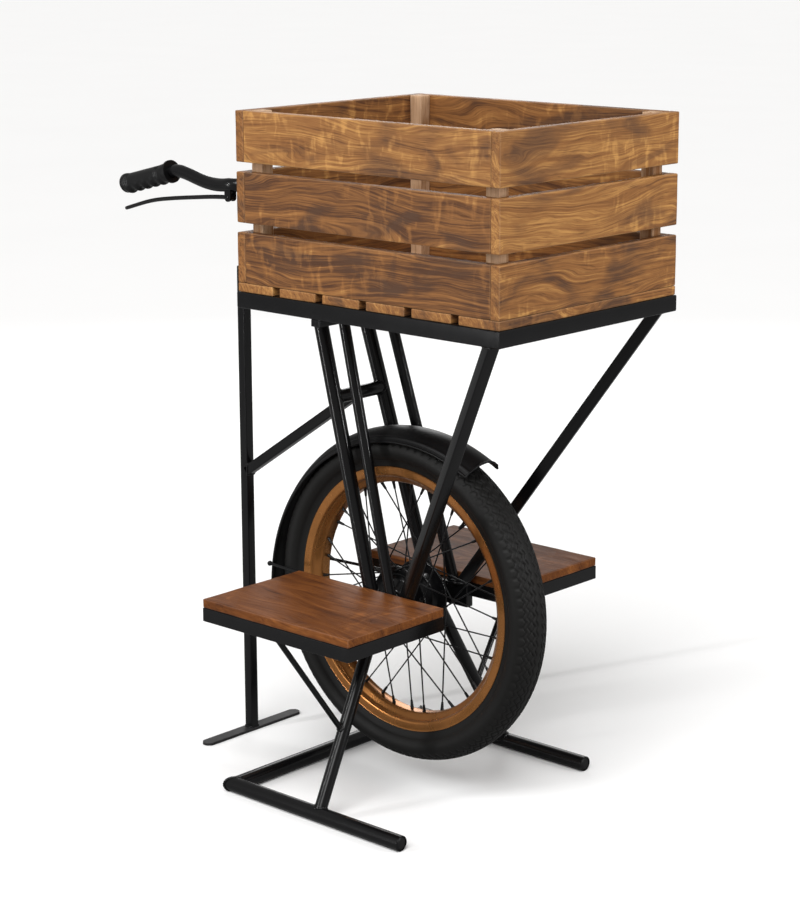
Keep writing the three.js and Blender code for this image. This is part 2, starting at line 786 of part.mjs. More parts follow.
// ---- mudguard ------------------------------------------------------------------------------------
// An arched strip on a circle of its own, a little behind and below the axle's, cut at two angles.
function buildMudguard() {
  const archRadius = (guardHalfWidth ** 2 + guardDrop ** 2) / (2 * guardDrop);
  const halfArc = Math.asin(guardHalfWidth / archRadius);
  const arch = (offset) => {
    const points = [];
    for (let i = 0; i <= guardArchSteps; i++) {
      const angle = halfArc * ((2 * i) / guardArchSteps - 1);
      const radius = archRadius - offset;
      points.push([guardRadius - archRadius + radius * Math.cos(angle), radius * Math.sin(angle)]);
    }
    return points;
  };
  const outer = arch(0);
  const profile = [...outer, ...arch(guardThick).reverse(), outer[0]];
  const ring = solid(facingOut(turned(profile, guardSides)));
  const wedge = new THREE.Shape();
  const far = guardRadius * 2;
  wedge.moveTo(0, 0);
  for (let i = 0; i <= guardCutSteps; i++) {
    const degrees = guardFrontAngle + ((guardRearAngle - guardFrontAngle) * i) / guardCutSteps;
    const angle = THREE.MathUtils.degToRad(degrees);
    wedge.lineTo(far * Math.cos(angle), far * Math.sin(angle));
  }
  wedge.closePath();
  const depth = 2 * (guardHalfWidth + proud);
  const cutter = new THREE.ExtrudeGeometry(wedge, { depth, bevelEnabled: false });
  cutter.rotateX(Math.PI / 2).translate(0, depth / 2, 0);
  const centre = at(guardCentreX, 0, guardCentreZ);
  let guard = ring.intersect(solid(cutter)).translate(centre.x, centre.y, centre.z);

  // A wire stay at each side, riveted to the guard's side and running to the axle bar's rear end, where
  // the wire's square-cut end is dressed flat against the bar.
  const sideRadius = guardRadius - guardDrop + rivetInset;
  const rivetX = centre.x - Math.sqrt(sideRadius ** 2 - (stayZ - centre.z) ** 2);
  const stayY = guardHalfWidth + stayRadius + stayStandOff;
  const behindBar = solid(box(-far, barRearX - gap, -far, far, 0, far));
  for (const [, side] of sides) {
    const rear = at(rivetX, side * stayY, stayZ);
    const front = at(barRearX - gap, side * (barInnerY + stayRadius), stayZ);
    const stay = solid(rod(rear, front, stayRadius, staySides)).intersect(behindBar);
    const rivetInner = at(rivetX, side * (stayY - rivetLength), stayZ);
    const rivetOuter = at(rivetX, side * (stayY + rivetHead), stayZ);
    const rivet = solid(rod(rivetInner, rivetOuter, rivetRadius, rivetSides));
    guard = guard.add(stay).add(rivet);
  }
  add("mudguard", geometryOf(guard), blackSteel);
}

// ---- handlebar -----------------------------------------------------------------------------------
// Half of the bar's centre line, from its middle to the end inside the grip.
function halfBar(side) {
  const bend = bendRadius * quarterCurve;
  const z = clampBarZ;
  const rearX = clampBarX - bendRadius;
  const innerY = gripLineY - bendRadius;
  const inside = gripLength - gripEndWall - barEndSlack;
  const gripEnd = gripStart.clone().addScaledVector(gripDirection, inside);
  const curves = [
    [at(clampBarX, 0, z), at(clampBarX, innerY, z)],
    [
      at(clampBarX, innerY, z),
      at(clampBarX, innerY + bend, z),
      at(rearX + bend, gripLineY, z),
      at(rearX, gripLineY, z),
    ],
    [
      at(rearX, gripLineY, z),
      at(rearX - sweepReach, gripLineY, z - sweepDrop),
      gripStart.clone().addScaledVector(gripDirection, -gripLead),
      gripStart.clone(),
    ],
    [gripStart.clone(), gripEnd],
  ];
  return curves.map((points) => points.map((p) => mirrored(p, side)));
}

function buildHandlebar() {
  const toCurve = (points) =>
    points.length === 2 ? new THREE.LineCurve3(...points) : new THREE.CubicBezierCurve3(...points);
  const path = new THREE.CurvePath();
  for (const points of halfBar(-1).reverse()) path.add(toCurve([...points].reverse()));
  for (const points of halfBar(1)) path.add(toCurve(points));
  let bar = solid(sweep(path, barTubeRadius, barSides, barSteps));
  for (const [name, side] of sides) {
    const y = side * gripLineY;
    for (const cheek of [-1, 1]) {
      const near = y + cheek * lugGap;
      const far = y + cheek * (lugGap + lugThick);
      const lug = box(
        leverPivotX - lugHalf,
        leverPivotX + lugHalf,
        Math.min(near, far),
        Math.max(near, far),
        leverPivotZ - lugHalf,
        clampBarZ - barTubeRadius / 2,
      );
      const eye = rod(
        at(leverPivotX, Math.min(near, far) - proud, leverPivotZ),
        at(leverPivotX, Math.max(near, far) + proud, leverPivotZ),
        lugHole,
      );
      bar = bar.add(solid(lug).subtract(solid(eye)));
    }
    addGrip(name, side);
    addLever(name, side);
  }
  add("handlebar", geometryOf(bar), blackSteel);
}

function addGrip(name, side) {
  const profile = [
    [gripBore, 0],
    [gripFlangeRadius, 0],
    [gripFlangeRadius, gripFlangeThick],
    [gripRadius, gripFlangeThick + gripFlangeSlope],
    [gripRadius, gripLength - gripRound],
    [gripRadius - gripShoulder, gripLength - gripRound / 3],
    [gripRadius - gripNose, gripLength],
    [0, gripLength],
    [0, gripLength - gripEndWall],
    [gripBore, gripLength - gripEndWall],
    [gripBore, 0],
  ];
  const grip = add(`grip_${name}`, facingOut(turned(profile, gripSides)), blackRubber);
  grip.quaternion.setFromUnitVectors(at(0, 1, 0), gripDirection);
  grip.position.copy(mirrored(gripStart, side));
}

function addLever(name, side) {
  const y = side * gripLineY;
  const pivot = at(leverPivotX, y, leverPivotZ);
  const route = leverRoute.map(([x, z]) => at(pivot.x + x, y, pivot.z + z));
  const across = (half, radius) =>
    solid(rod(at(pivot.x, y - half, pivot.z), at(pivot.x, y + half, pivot.z), radius));
  const lever = solid(sweep(new THREE.CatmullRomCurve3(route), leverRadius, leverSides, leverSteps))
    .add(across(leverEyeHalf, leverEyeRadius))
    .add(across(leverPinHalf, leverPinRadius));
  add(`brake_lever_${name}`, geometryOf(lever), blackSteel);
}

// One bracket on the crate's rear plank: a back plate with a saddle round the bar at each end.
function buildBarBracket() {
  const plateFront = crateRear - gap;
  const halfHeight = clampHeight / 2;
  const endY = clampY + clampWidth / 2;
  const [z0, z1] = [clampBarZ - halfHeight, clampBarZ + halfHeight];
  let bracket = solid(box(plateFront - clampPlate, plateFront, -endY, endY, z0, z1));
  for (const [, side] of sides) {
    const y0 = side * clampY - clampWidth / 2;
    const rearX = clampBarX - barTubeRadius - clampWall;
    bracket = bracket.add(solid(box(rearX, plateFront, y0, y0 + clampWidth, z0, z1)));
  }
  const boreEnd = at(clampBarX, endY + proud, clampBarZ);
  const bore = rod(mirrored(boreEnd, -1), boreEnd, barTubeRadius + gap);
  add("bar_bracket", geometryOf(bracket.subtract(solid(bore))), blackSteel);
}

// ---- the cart ------------------------------------------------------------------------------------
buildCrate();
buildTopFrame();
buildFork();
buildAxleBars();
buildRearLeg();
buildBase();
buildStruts();
buildShelves();
buildWheel();
buildMudguard();
buildHandlebar();
buildBarBracket();

// The grips reach furthest back and the top frame furthest forward.
const gripRearX = gripStart.x + gripDirection.x * gripLength + gripDirection.z * (gripRadius - gripNose);
cart.position.x = -(frameFront + gripRearX) / 2;
const model = new THREE.Group();
model.add(cart);

export default model;
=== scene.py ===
import json

import bmesh
import bpy
import numpy as np
from bpy.props import FloatProperty, FloatVectorProperty, IntProperty, PointerProperty
from bpy.types import NodeSocket, Operator, Panel, PropertyGroup
from mathutils import Matrix, Vector


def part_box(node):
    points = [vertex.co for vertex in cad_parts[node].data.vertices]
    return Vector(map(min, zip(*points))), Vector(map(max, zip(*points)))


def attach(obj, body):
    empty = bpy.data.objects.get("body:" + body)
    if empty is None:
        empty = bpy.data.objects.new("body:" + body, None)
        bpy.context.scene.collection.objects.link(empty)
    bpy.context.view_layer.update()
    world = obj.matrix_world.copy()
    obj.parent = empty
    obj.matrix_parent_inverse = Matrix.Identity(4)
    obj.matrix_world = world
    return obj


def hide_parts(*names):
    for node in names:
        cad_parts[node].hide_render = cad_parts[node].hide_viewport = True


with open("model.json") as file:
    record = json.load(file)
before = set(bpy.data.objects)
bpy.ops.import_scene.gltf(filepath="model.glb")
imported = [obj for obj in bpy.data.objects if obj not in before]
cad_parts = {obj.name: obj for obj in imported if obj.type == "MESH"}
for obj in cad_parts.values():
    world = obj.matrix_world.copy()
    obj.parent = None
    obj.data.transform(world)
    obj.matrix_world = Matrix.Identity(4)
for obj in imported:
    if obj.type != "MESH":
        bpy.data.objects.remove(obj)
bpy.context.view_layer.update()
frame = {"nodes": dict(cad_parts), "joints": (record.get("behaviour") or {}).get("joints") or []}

bl_info = {
    "name": "Display Cart",
    "version": (1, 0, 0),
    "blender": (4, 5, 0),
    "location": "3D View > Sidebar > Display Cart",
    "description": "Builds the finished surfaces of a standing display cart around its frame",
    "category": "Add Mesh",
}

SIDES = (("left", 1.0), ("right", -1.0))
UP = np.array([0.0, 0.0, 1.0])
ACROSS = np.array([0.0, 1.0, 0.0])
AHEAD = np.array([1.0, 0.0, 0.0])
FULL_TURN = 2 * np.pi
GAP = 0.0003  # between pieces that stand against each other, in metres


# ---- places taken from the frame -----------------------------------------------------------------
def span(node):
    """Lowest and highest corners of a frame node."""
    low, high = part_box(node)
    return np.array(low), np.array(high)


def middle(node):
    """Middle of a frame node's box."""
    low, high = span(node)
    return (low + high) / 2


def mesh_points(mesh):
    """Every corner point of a mesh."""
    points = np.empty(len(mesh.vertices) * 3, np.float32)
    mesh.vertices.foreach_get("co", points)
    return points.reshape(-1, 3).astype(float)


def axis_ends(node):
    """Middle of a leaning tube's level foot and of its level head."""
    points = mesh_points(frame["nodes"][node].data)
    ends = []
    for level in (points[:, 2].min(), points[:, 2].max()):
        rim = points[np.abs(points[:, 2] - level) < 1e-5]
        ends.append((rim.min(0) + rim.max(0)) / 2)
    return ends


def joint_place(name):
    """The point that a hinge turns about."""
    return next(np.array(j["pos_m"], float) for j in frame["joints"] if j["name"] == name)


# ---- sections, paths and surfaces ----------------------------------------------------------------
def circle(radius, sides=40):
    """Points at equal angles round a circle."""
    angle = np.arange(sides) * FULL_TURN / sides
    return radius * np.stack([np.cos(angle), np.sin(angle)], -1)


def eased_corners(outline, ease, steps=4, closed=True):
    """An outline whose corners are rounded. Each corner C becomes the curve (1-t)^2 A + 2t(1-t) C + t^2 B,
    where A and B lie the easing length before and after it, or half a side if that is shorter."""
    outline = np.asarray(outline, float)
    before, after = np.roll(outline, 1, 0) - outline, np.roll(outline, -1, 0) - outline
    lengths = [np.linalg.norm(v, axis=1, keepdims=True) for v in (before, after)]
    reach = [np.minimum(ease, length / 2) / np.maximum(length, 1e-9) for length in lengths]
    start, end = outline + before * reach[0], outline + after * reach[1]
    t = np.linspace(0, 1, steps + 1)[None, :, None]
    curves = (1 - t) ** 2 * start[:, None] + 2 * t * (1 - t) * outline[:, None] + t**2 * end[:, None]
    if closed:
        return curves.reshape(-1, outline.shape[1])
    inner = curves[1:-1].reshape(-1, outline.shape[1])
    return np.concatenate([outline[:1], inner, outline[-1:]])


def rectangle(width, height, ease):
    """A rectangle about the origin with rounded corners."""
    w, h = width / 2, height / 2
    return eased_corners([(w, -h), (w, h), (-w, h), (-w, -h)], ease)


def line(start, end, stations=2):
    """Equal steps from one point to another."""
    return np.linspace(start, end, stations)


def curve(points, per_span=8):
    """A smooth curve through points: on each span the cubic that passes through its two ends with slopes
    of half the step between their neighbours."""
    points = np.asarray(points, float)
    padded = np.concatenate([2 * points[:1] - points[1:2], points, 2 * points[-1:] - points[-2:-1]])
    a, b, c, d = padded[:-3, None], padded[1:-2, None], padded[2:-1, None], padded[3:, None]
    t = np.arange(per_span)[None, :, None] / per_span
    spans = 0.5 * (2 * b + (c - a) * t + (2 * a - 5 * b + 4 * c - d) * t**2 + (3 * b - a - 3 * c + d) * t**3)
    return np.concatenate([spans.reshape(-1, 3), points[-1:]])


def bezier(a, b, c, d, steps=14):
    """The cubic curve from a to d that leaves towards b and arrives from c."""
    t = np.linspace(0, 1, steps + 1)[:, None]
    return (1 - t) ** 3 * a + 3 * t * (1 - t) ** 2 * b + 3 * t**2 * (1 - t) * c + t**3 * d


def grid_faces(rows, columns, close_rows=False, close_columns=True):
    """Four-sided faces between neighbouring points of a grid. A closed way joins its last line to its
    first."""
    r = np.arange(rows if close_rows else rows - 1)
    c = np.arange(columns if close_columns else columns - 1)
    r, c = np.meshgrid(r, c, indexing="ij")
    r1, c1 = (r + 1) % rows, (c + 1) % columns
    quads = np.stack([r * columns + c, r * columns + c1, r1 * columns + c1, r1 * columns + c], -1)
    return quads.reshape(-1, 4).tolist()


def closed_tube(points):
    """Faces and points of a grid of closed sections, with a flat face over each end."""
    rows, columns = points.shape[:2]
    faces = grid_faces(rows, columns)
    faces.append(list(range(columns)))
    faces.append(list(range((rows - 1) * columns, rows * columns)))
    return points.reshape(-1, 3), faces


def carried(section, path, up=UP, sizes=None, closed=False):
    """A flat section carried along a path. A point is the path's point, plus the section's first number
    times the direction across (path direction crossed with up), plus its second times the third direction."""
    path = np.asarray(path, float)
    if closed:
        along = np.roll(path, -1, 0) - np.roll(path, 1, 0)
    else:
        along = np.gradient(path, axis=0)
    along /= np.linalg.norm(along, axis=1, keepdims=True)
    aside = np.cross(along, up)
    aside /= np.linalg.norm(aside, axis=1, keepdims=True)
    rise = np.cross(aside, along)
    sizes = np.ones(len(path)) if sizes is None else np.asarray(sizes, float)
    grown = np.asarray(section)[None] * sizes[:, None, None]
    points = path[:, None] + grown[..., :1] * aside[:, None] + grown[..., 1:] * rise[:, None]
    if closed:
        return points.reshape(-1, 3), grid_faces(len(path), len(section), close_rows=True)
    return closed_tube(points)


def bar(section, start, end, up=UP, chamfer=0.0012, radius=0.01):
    """A straight bar whose two ends are slightly chamfered: four sections, the outer two drawn in."""
    start, end = np.asarray(start, float), np.asarray(end, float)
    step = chamfer * (end - start) / np.linalg.norm(end - start)
    path = np.array([start, start + step, end - step, end])
    small = 1 - chamfer / radius
    return carried(section, path, up, [small, 1, 1, small])


def level_cut(section, bottom, top):
    """The level cut of a leaning tube: its section stretched along the lean by one over the lean's cosine."""
    lean, rise = (top - bottom)[:2], (top - bottom)[2]
    angle = np.arctan2(lean[1], lean[0])
    stretched = section * (np.hypot(np.linalg.norm(lean), rise) / rise, 1)
    turn = np.array([[np.cos(angle), -np.sin(angle)], [np.sin(angle), np.cos(angle)]])
    return stretched @ turn.T


def leaning(section, bottom, top, stations=6):
    """A leaning tube with level ends: the same level cut at every height, moved along the lean."""
    cut = level_cut(section, bottom, top)
    axis = line(bottom, top, stations)
    points = np.repeat(axis[:, None], len(cut), 1)
    points[..., :2] += cut
    return closed_tube(points)


def turned(profile, centre, steps, around=ACROSS, start=UP):
    """A closed profile of (radius, place along the axis) turned about an axis through the centre."""
    side = np.cross(around, start)
    angle = np.arange(steps) * FULL_TURN / steps
    spoke = np.cos(angle)[:, None] * start + np.sin(angle)[:, None] * side
    profile = np.asarray(profile, float)
    points = centre + profile[None, :, :1] * spoke[:, None] + profile[None, :, 1:] * around
    return points.reshape(-1, 3), grid_faces(steps, len(profile), close_rows=True)


def turned_solid(profile, centre, steps, around=ACROSS, start=UP):
    """A profile from end to end of a solid, carried round its axis and closed by a flat face at each end."""
    side = np.cross(around, start)
    angle = np.arange(steps) * FULL_TURN / steps
    spoke = np.cos(angle)[:, None] * start + np.sin(angle)[:, None] * side
    profile = np.asarray(profile, float)
    points = centre + profile[:, None, :1] * spoke[None] + profile[:, None, 1:] * around
    return closed_tube(points)


def mirror_profile(half):
    """A half profile, from the middle plane outwards and back, with its mirror image to close it."""
    half = np.asarray(half, float)
    return np.concatenate([half, (half * (1, -1))[::-1]])


def eased_box(low, high, ease, step=0.05, waver=0.0, seed=0.0):
    """A box with rounded edges: each point of a plain box's surface is pulled to the nearest point of a
    smaller box, then pushed out by the easing radius. The radius wavers along the board, as if by hand."""
    low, high = np.asarray(low, float), np.asarray(high, float)
    lines = []
    for a, b in zip(low, high):
        edge = ease * np.array([0, 0.3, 1.0, 2.4])
        count = max(2, int((b - a) / step))
        lines.append(np.concatenate([a + edge, np.linspace(a, b, count + 2)[1:-1], (b - edge)[::-1]]))
        lines[-1].sort()
    parts, faces, first = [], [], 0
    for axis in range(3):
        u, v = [i for i in range(3) if i != axis]
        grid_u, grid_v = np.meshgrid(lines[u], lines[v], indexing="ij")
        quads = np.array(grid_faces(len(lines[u]), len(lines[v]), close_columns=False))
        for end in (low[axis], high[axis]):
            points = np.empty((grid_u.size, 3))
            points[:, u], points[:, v], points[:, axis] = grid_u.ravel(), grid_v.ravel(), end
            parts.append(points)
            faces.append(quads + first)
            first += len(points)
    points = np.concatenate(parts)
    reach = points.sum(1)
    radius = ease * (1 + waver * np.sin(reach * 61 + seed) * np.sin(reach * 23 + 2 * seed))[:, None]
    inner = np.clip(points, low + radius, high - radius)
    away = points - inner
    points = inner + radius * away / np.maximum(np.linalg.norm(away, axis=1, keepdims=True), 1e-12)
    points, place = np.unique(np.round(points, 7), axis=0, return_inverse=True)
    return points, place.ravel()[np.concatenate(faces)].tolist()


def slab(outline, bottom, top, ease):
    """A flat plate: an outline at two heights with its edges eased, and a flat face over each."""
    outline = np.asarray(outline, float)
    centre = outline.mean(0)
    small = centre + (outline - centre) * (1 - ease / np.abs(outline - centre).max(0))
    levels = [(small, bottom), (outline, bottom + ease), (outline, top - ease), (small, top)]
    points = np.stack([np.column_stack([shape, np.full(len(shape), z)]) for shape, z in levels])
    return closed_tube(points)


def saddle(start, direction, radius, other, other_direction, other_radius, steps):
    """The closed line where a round tube meets another. Round the tube, each point slides along the tube by
    the t that solves |p + t d| = R, with p and d taken square to the other tube's axis."""
    direction = direction / np.linalg.norm(direction)
    other_direction = other_direction / np.linalg.norm(other_direction)
    first = np.cross(direction, other_direction)
    first /= np.linalg.norm(first)
    second = np.cross(direction, first)
    angle = np.arange(steps) * FULL_TURN / steps
    around = start + radius * (np.cos(angle)[:, None] * first + np.sin(angle)[:, None] * second)
    square = np.eye(3) - np.outer(other_direction, other_direction)
    p, d = (around - other) @ square, direction @ square
    a, b, c = d @ d, p @ d, (p * p).sum(1) - other_radius**2
    t = (-b + np.sqrt(np.maximum(b * b - a * c, 0))) / a
    return around + t[:, None] * direction


# ---- making objects ------------------------------------------------------------------------------
def joined(parts):
    """Several closed shapes as one list of points and one of faces."""
    points, faces, first = [], [], 0
    for shape_points, shape_faces in parts:
        points.append(shape_points)
        faces += [[i + first for i in face] for face in shape_faces]
        first += len(shape_points)
    return np.concatenate(points), faces


def make_piece(name, parts, material, body="cart", nodes=(), sharp=35.0):
    """A mesh object from closed shapes, with its faces turned outwards, riding on a body of the frame."""
    points, faces = joined(parts)
    mesh = bpy.data.meshes.new(name)
    mesh.from_pydata(points.tolist(), [], faces)
    work = bmesh.new()
    work.from_mesh(mesh)
    bmesh.ops.recalc_face_normals(work, faces=work.faces)
    work.to_mesh(mesh)
    work.free()
    mesh.shade_smooth()
    mesh.set_sharp_from_angle(angle=np.radians(sharp))
    mesh.materials.append(material)
    piece = bpy.data.objects.new(name, mesh)
    bpy.context.scene.collection.objects.link(piece)
    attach(piece, body)
    if nodes:
        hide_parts(*nodes)
    return piece


def weld(name, paths, size):
    """Weld beads: a small round section carried along each closed path, swelling and shrinking as it goes."""
    beads = []
    for path in paths:
        length = np.linalg.norm(np.roll(path, -1, 0) - path, axis=1).sum()
        pitch = 0.0045
        ripples = max(6, int(length / pitch))
        share = np.arange(ripples * 4) / (ripples * 4)
        place = np.arange(len(path) + 1) / len(path)
        wrapped = np.concatenate([path, path[:1]])
        even = np.stack([np.interp(share, place, wrapped[:, i]) for i in range(3)], -1)
        swell = 1 + 0.2 * np.abs(np.sin(np.pi * share * ripples)) + 0.12 * np.sin(FULL_TURN * share * 3)
        beads.append(carried(circle(size, 8), even, (0.13, 0.07, 1.0), swell, closed=True))
    return make_piece(name, beads, black_paint(), sharp=60)


# ---- sizes and colours that a user would change --------------------------------------------------
def metres(name, description, default, top=1.0):
    """A length shown in the sidebar."""
    return FloatProperty(name=name, description=description, default=default, min=0.0001, max=top,
                         unit="LENGTH", precision=4)


def tint(name, description, default):
    """A colour shown in the sidebar."""
    return FloatVectorProperty(name=name, description=description, default=default, size=3, min=0.0,
                               max=1.0, subtype="COLOR")


class CartSizes(PropertyGroup):
    """Sizes of the finished surfaces."""

    board_ease: metres("Board edge", "Rounding of the sanded board edges", 0.0019)
    tube_corner: metres("Tube corner", "Corner radius of the square tubes", 0.0024)
    leg_radius: metres("Leg tube", "Radius of the two fork legs", 0.0125)
    slim_radius: metres("Slim tube", "Radius of the slim tubes beside the legs", 0.0095)
    crown_radius: metres("Crown tube", "Radius of the tube across the fork", 0.012)
    square_tube: metres("Square tube", "Width of the front diagonals", 0.020)
    post_tube: metres("Post tube", "Width of the rear post and its brace", 0.018)
    rail: metres("Rail", "Width and height of the top frame's rails", 0.027)
    strut_radius: metres("Strut tube", "Radius of the struts to the base", 0.011)
    rod_radius: metres("Shelf rod", "Radius of the rods under the shelves", 0.005)
    base_wall: metres("Base wall", "Wall of the base tube at its open ends", 0.002)
    tyre_groove: metres("Tread depth", "Depth of the tyre's grooves", 0.0022)
    tyre_zigzags: IntProperty(name="Tread pitches", description="Zigzags round the tyre", default=104,
                              min=20, max=160)
    spoke_radius: metres("Spoke", "Radius of a spoke", 0.0013)
    bar_radius: metres("Handlebar tube", "Radius of the handlebar", 0.0111)
    grip_radius: metres("Grip", "Radius of a grip between its ridges", 0.0155)
    grip_flange: metres("Grip flange", "Radius of a grip's flange", 0.0195)
    grip_length: metres("Grip length", "Length of a grip", 0.129)
    grip_fall: FloatProperty(name="Grip fall", description="Slope of a grip down to its end",
                             default=np.radians(14), subtype="ANGLE")
    rim_well: metres("Rim well", "Depth of the rim's well below its lips", 0.030)
    weld_bead: metres("Weld bead", "Radius of a weld bead", 0.0021)


class CartColours(PropertyGroup):
    """Colours of the finishes."""

    crate_light: tint("Crate, light", "Light bands of the crate boards", (0.56, 0.285, 0.088))
    crate_mid: tint("Crate, mid", "Body colour of the crate boards", (0.275, 0.118, 0.038))
    crate_dark: tint("Crate, dark", "Dark bands and knots of the crate boards", (0.085, 0.036, 0.018))
    crate_smoke: tint("Crate, smoke", "Grey-brown patches of the crate boards", (0.105, 0.063, 0.040))
    shelf_light: tint("Shelf, light", "Light bands of the shelf boards", (0.290, 0.104, 0.028))
    shelf_mid: tint("Shelf, mid", "Body colour of the shelf boards", (0.155, 0.052, 0.015))
    shelf_dark: tint("Shelf, dark", "Dark bands of the shelf boards", (0.050, 0.017, 0.0085))
    frame_black: tint("Frame paint", "Black paint of the frame", (0.0042, 0.0042, 0.0046))
    rim_gold: tint("Rim paint", "Gold paint of the rim", (0.40, 0.165, 0.047))
    tyre_black: tint("Tyre", "Rubber of the tyre", (0.0072, 0.0070, 0.0067))
    grip_black: tint("Grips", "Rubber of the grips", (0.0050, 0.0050, 0.0054))
    steel: tint("Bare steel", "Bearings, axle and nuts", (0.30, 0.295, 0.285))
    floor: tint("Floor", "Studio floor", (0.965, 0.965, 0.965))


def sizes():
    """Sizes set in the sidebar."""
    return bpy.context.scene.cart_sizes


def colours():
    """Colours set in the sidebar."""
    return bpy.context.scene.cart_colours


# ---- shader wiring -------------------------------------------------------------------------------
class Wiring:
    """Adds nodes to a shader tree and joins them."""

    def __init__(self, tree):
        self.tree = tree

    def add(self, kind, inputs=None, **settings):
        made = self.tree.nodes.new(kind)
        for key, value in settings.items():
            setattr(made, key, value)
        for key, value in (inputs or {}).items():
            if isinstance(value, NodeSocket):
                self.tree.links.new(value, made.inputs[key])
            else:
                made.inputs[key].default_value = value
        return made

    def math(self, operation, first, second=0.0, clamp=False):
        inputs = {0: first, 1: second}
        return self.add("ShaderNodeMath", inputs, operation=operation, use_clamp=clamp).outputs[0]

    def scaled(self, vector, factors):
        return self.add("ShaderNodeVectorMath", {0: vector, 1: factors}, operation="MULTIPLY").outputs[0]

    def noise(self, vector, scale=1.0, detail=2.0, rough=0.5, distortion=0.0):
        inputs = {"Vector": vector, "Scale": scale, "Detail": detail, "Roughness": rough,
                  "Distortion": distortion}
        return self.add("ShaderNodeTexNoise", inputs).outputs["Fac"]

    def step(self, value, low, high, bottom=0.0, top=1.0):
        inputs = {"Value": value, "From Min": low, "From Max": high, "To Min": bottom, "To Max": top}
        return self.add("ShaderNodeMapRange", inputs, interpolation_type="SMOOTHSTEP").outputs["Result"]

    def mix(self, share, first, second):
        inputs = {0: share, 6: first, 7: second}
        return self.add("ShaderNodeMix", inputs, data_type="RGBA").outputs[2]


def opaque(colour, factor=1.0):
    """A colour with an alpha of one."""
    return tuple(min(1.0, c * factor) for c in colour) + (1.0,)


def new_group(name, inputs, outputs):
    """An empty shader group with named sockets, its inputs and its output node."""
    group = bpy.data.node_groups.new(name, "ShaderNodeTree")
    for label, kind, default in inputs:
        socket = group.interface.new_socket(label, in_out="INPUT", socket_type=kind)
        if default is not None:
            socket.default_value = default
    for label, kind in outputs:
        group.interface.new_socket(label, in_out="OUTPUT", socket_type=kind)
    start = group.nodes.new("NodeGroupInput")
    end = group.nodes.new("NodeGroupOutput")
    return group, start.outputs, end.inputs


def wood_figure():
    """Shared wood pattern. Its bands follow across + swirl noise + knot humps, so they wave along a board
    and close into rings round each knot; pores are long thin noise that follows the same bands. The three
    factors of each noise are its cycles per metre along, across and through the grain."""
    if "wood_figure" in bpy.data.node_groups:
        return bpy.data.node_groups["wood_figure"]
    number, vector = "NodeSocketFloat", "NodeSocketVector"
    group, source, result = new_group(
        "wood_figure",
        [("Place", vector, None), ("Swirl", number, 0.09), ("Bands", number, 200.0), ("Knots", number, 0.5)],
        [(label, number) for label in ("Tone", "Fibre", "Pores", "Figure", "Patch", "Knot")],
    )
    w = Wiring(group)
    place = source["Place"]
    parts = w.add("ShaderNodeSeparateXYZ", {0: place}).outputs
    swirl = w.noise(w.scaled(place, (3.6, 11.0, 11.0)), detail=2.0, rough=0.4, distortion=0.15)
    ripple = w.noise(w.scaled(place, (13.0, 38.0, 38.0)), detail=2.0)
    cells = w.add("ShaderNodeTexVoronoi", {"Vector": w.scaled(place, (3.4, 9.0, 5.0)), "Scale": 1.0,
                                           "Randomness": 0.45})
    chance = w.add("ShaderNodeSeparateColor", {0: cells.outputs["Color"]}).outputs[0]
    has_knot = w.step(chance, w.math("SUBTRACT", 1.0, source["Knots"]),
                      w.math("SUBTRACT", 1.03, source["Knots"]))
    hump = w.math("MULTIPLY", w.step(cells.outputs["Distance"], 0.0, 0.3, 1.0, 0.0), has_knot)
    flow = w.math("ADD", parts[1], w.math("MULTIPLY", parts[2], 0.45))
    flow = w.math("ADD", flow, w.math("MULTIPLY", w.math("SUBTRACT", swirl, 0.5), source["Swirl"]))
    flow = w.math("ADD", flow, w.math("MULTIPLY", w.math("SUBTRACT", ripple, 0.5), 0.006))
    flow = w.math("ADD", flow, w.math("MULTIPLY", hump, 0.034))
    bands = w.add("ShaderNodeTexNoise", {"W": w.math("MULTIPLY", flow, source["Bands"]), "Scale": 1.0,
                                         "Detail": 5.0, "Roughness": 0.66}, noise_dimensions="1D")
    fibre_place = w.add("ShaderNodeCombineXYZ", {0: w.math("MULTIPLY", parts[0], 26.0),
                                                 1: w.math("MULTIPLY", flow, 620.0),
                                                 2: w.math("MULTIPLY", parts[2], 420.0)}).outputs[0]
    pores = w.noise(fibre_place, detail=3.0, rough=0.65)
    line_place = w.add("ShaderNodeCombineXYZ", {0: w.math("MULTIPLY", parts[0], 9.0),
                                                1: w.math("MULTIPLY", flow, 330.0),
                                                2: w.math("MULTIPLY", parts[2], 200.0)}).outputs[0]
    fibre = w.noise(line_place, detail=3.0, rough=0.7)
    # bright slanted streaks across the grain, in patches: a painted sheen standing in for the wood's
    # chatoyance
    sheen_place = w.add("ShaderNodeCombineXYZ", {0: w.math("MULTIPLY", parts[0], 62.0),
                                                 1: w.math("MULTIPLY", flow, 26.0),
                                                 2: w.math("MULTIPLY", parts[2], 12.0)}).outputs[0]
    figure = w.noise(sheen_place, detail=2.0, rough=0.5, distortion=0.4)
    where = w.step(w.noise(w.scaled(place, (4.2, 7.0, 7.0)), detail=1.0), 0.44, 0.62)
    patch = w.noise(w.scaled(place, (6.5, 15.0, 10.0)), detail=3.0, rough=0.5, distortion=0.9)
    core = w.math("MULTIPLY", w.step(cells.outputs["Distance"], 0.015, 0.075, 1.0, 0.0), has_knot)
    tone = w.add("ShaderNodeMapRange", {"Value": bands.outputs["Fac"], "From Min": 0.2, "From Max": 0.8})
    made = {"Tone": tone.outputs["Result"], "Fibre": fibre, "Pores": w.step(pores, 0.52, 0.72),
            "Figure": w.math("MULTIPLY", w.step(figure, 0.5, 0.75), where),
            "Patch": w.step(patch, 0.47, 0.72), "Knot": core}
    for label, socket in made.items():
        group.links.new(socket, result[label])
    return group


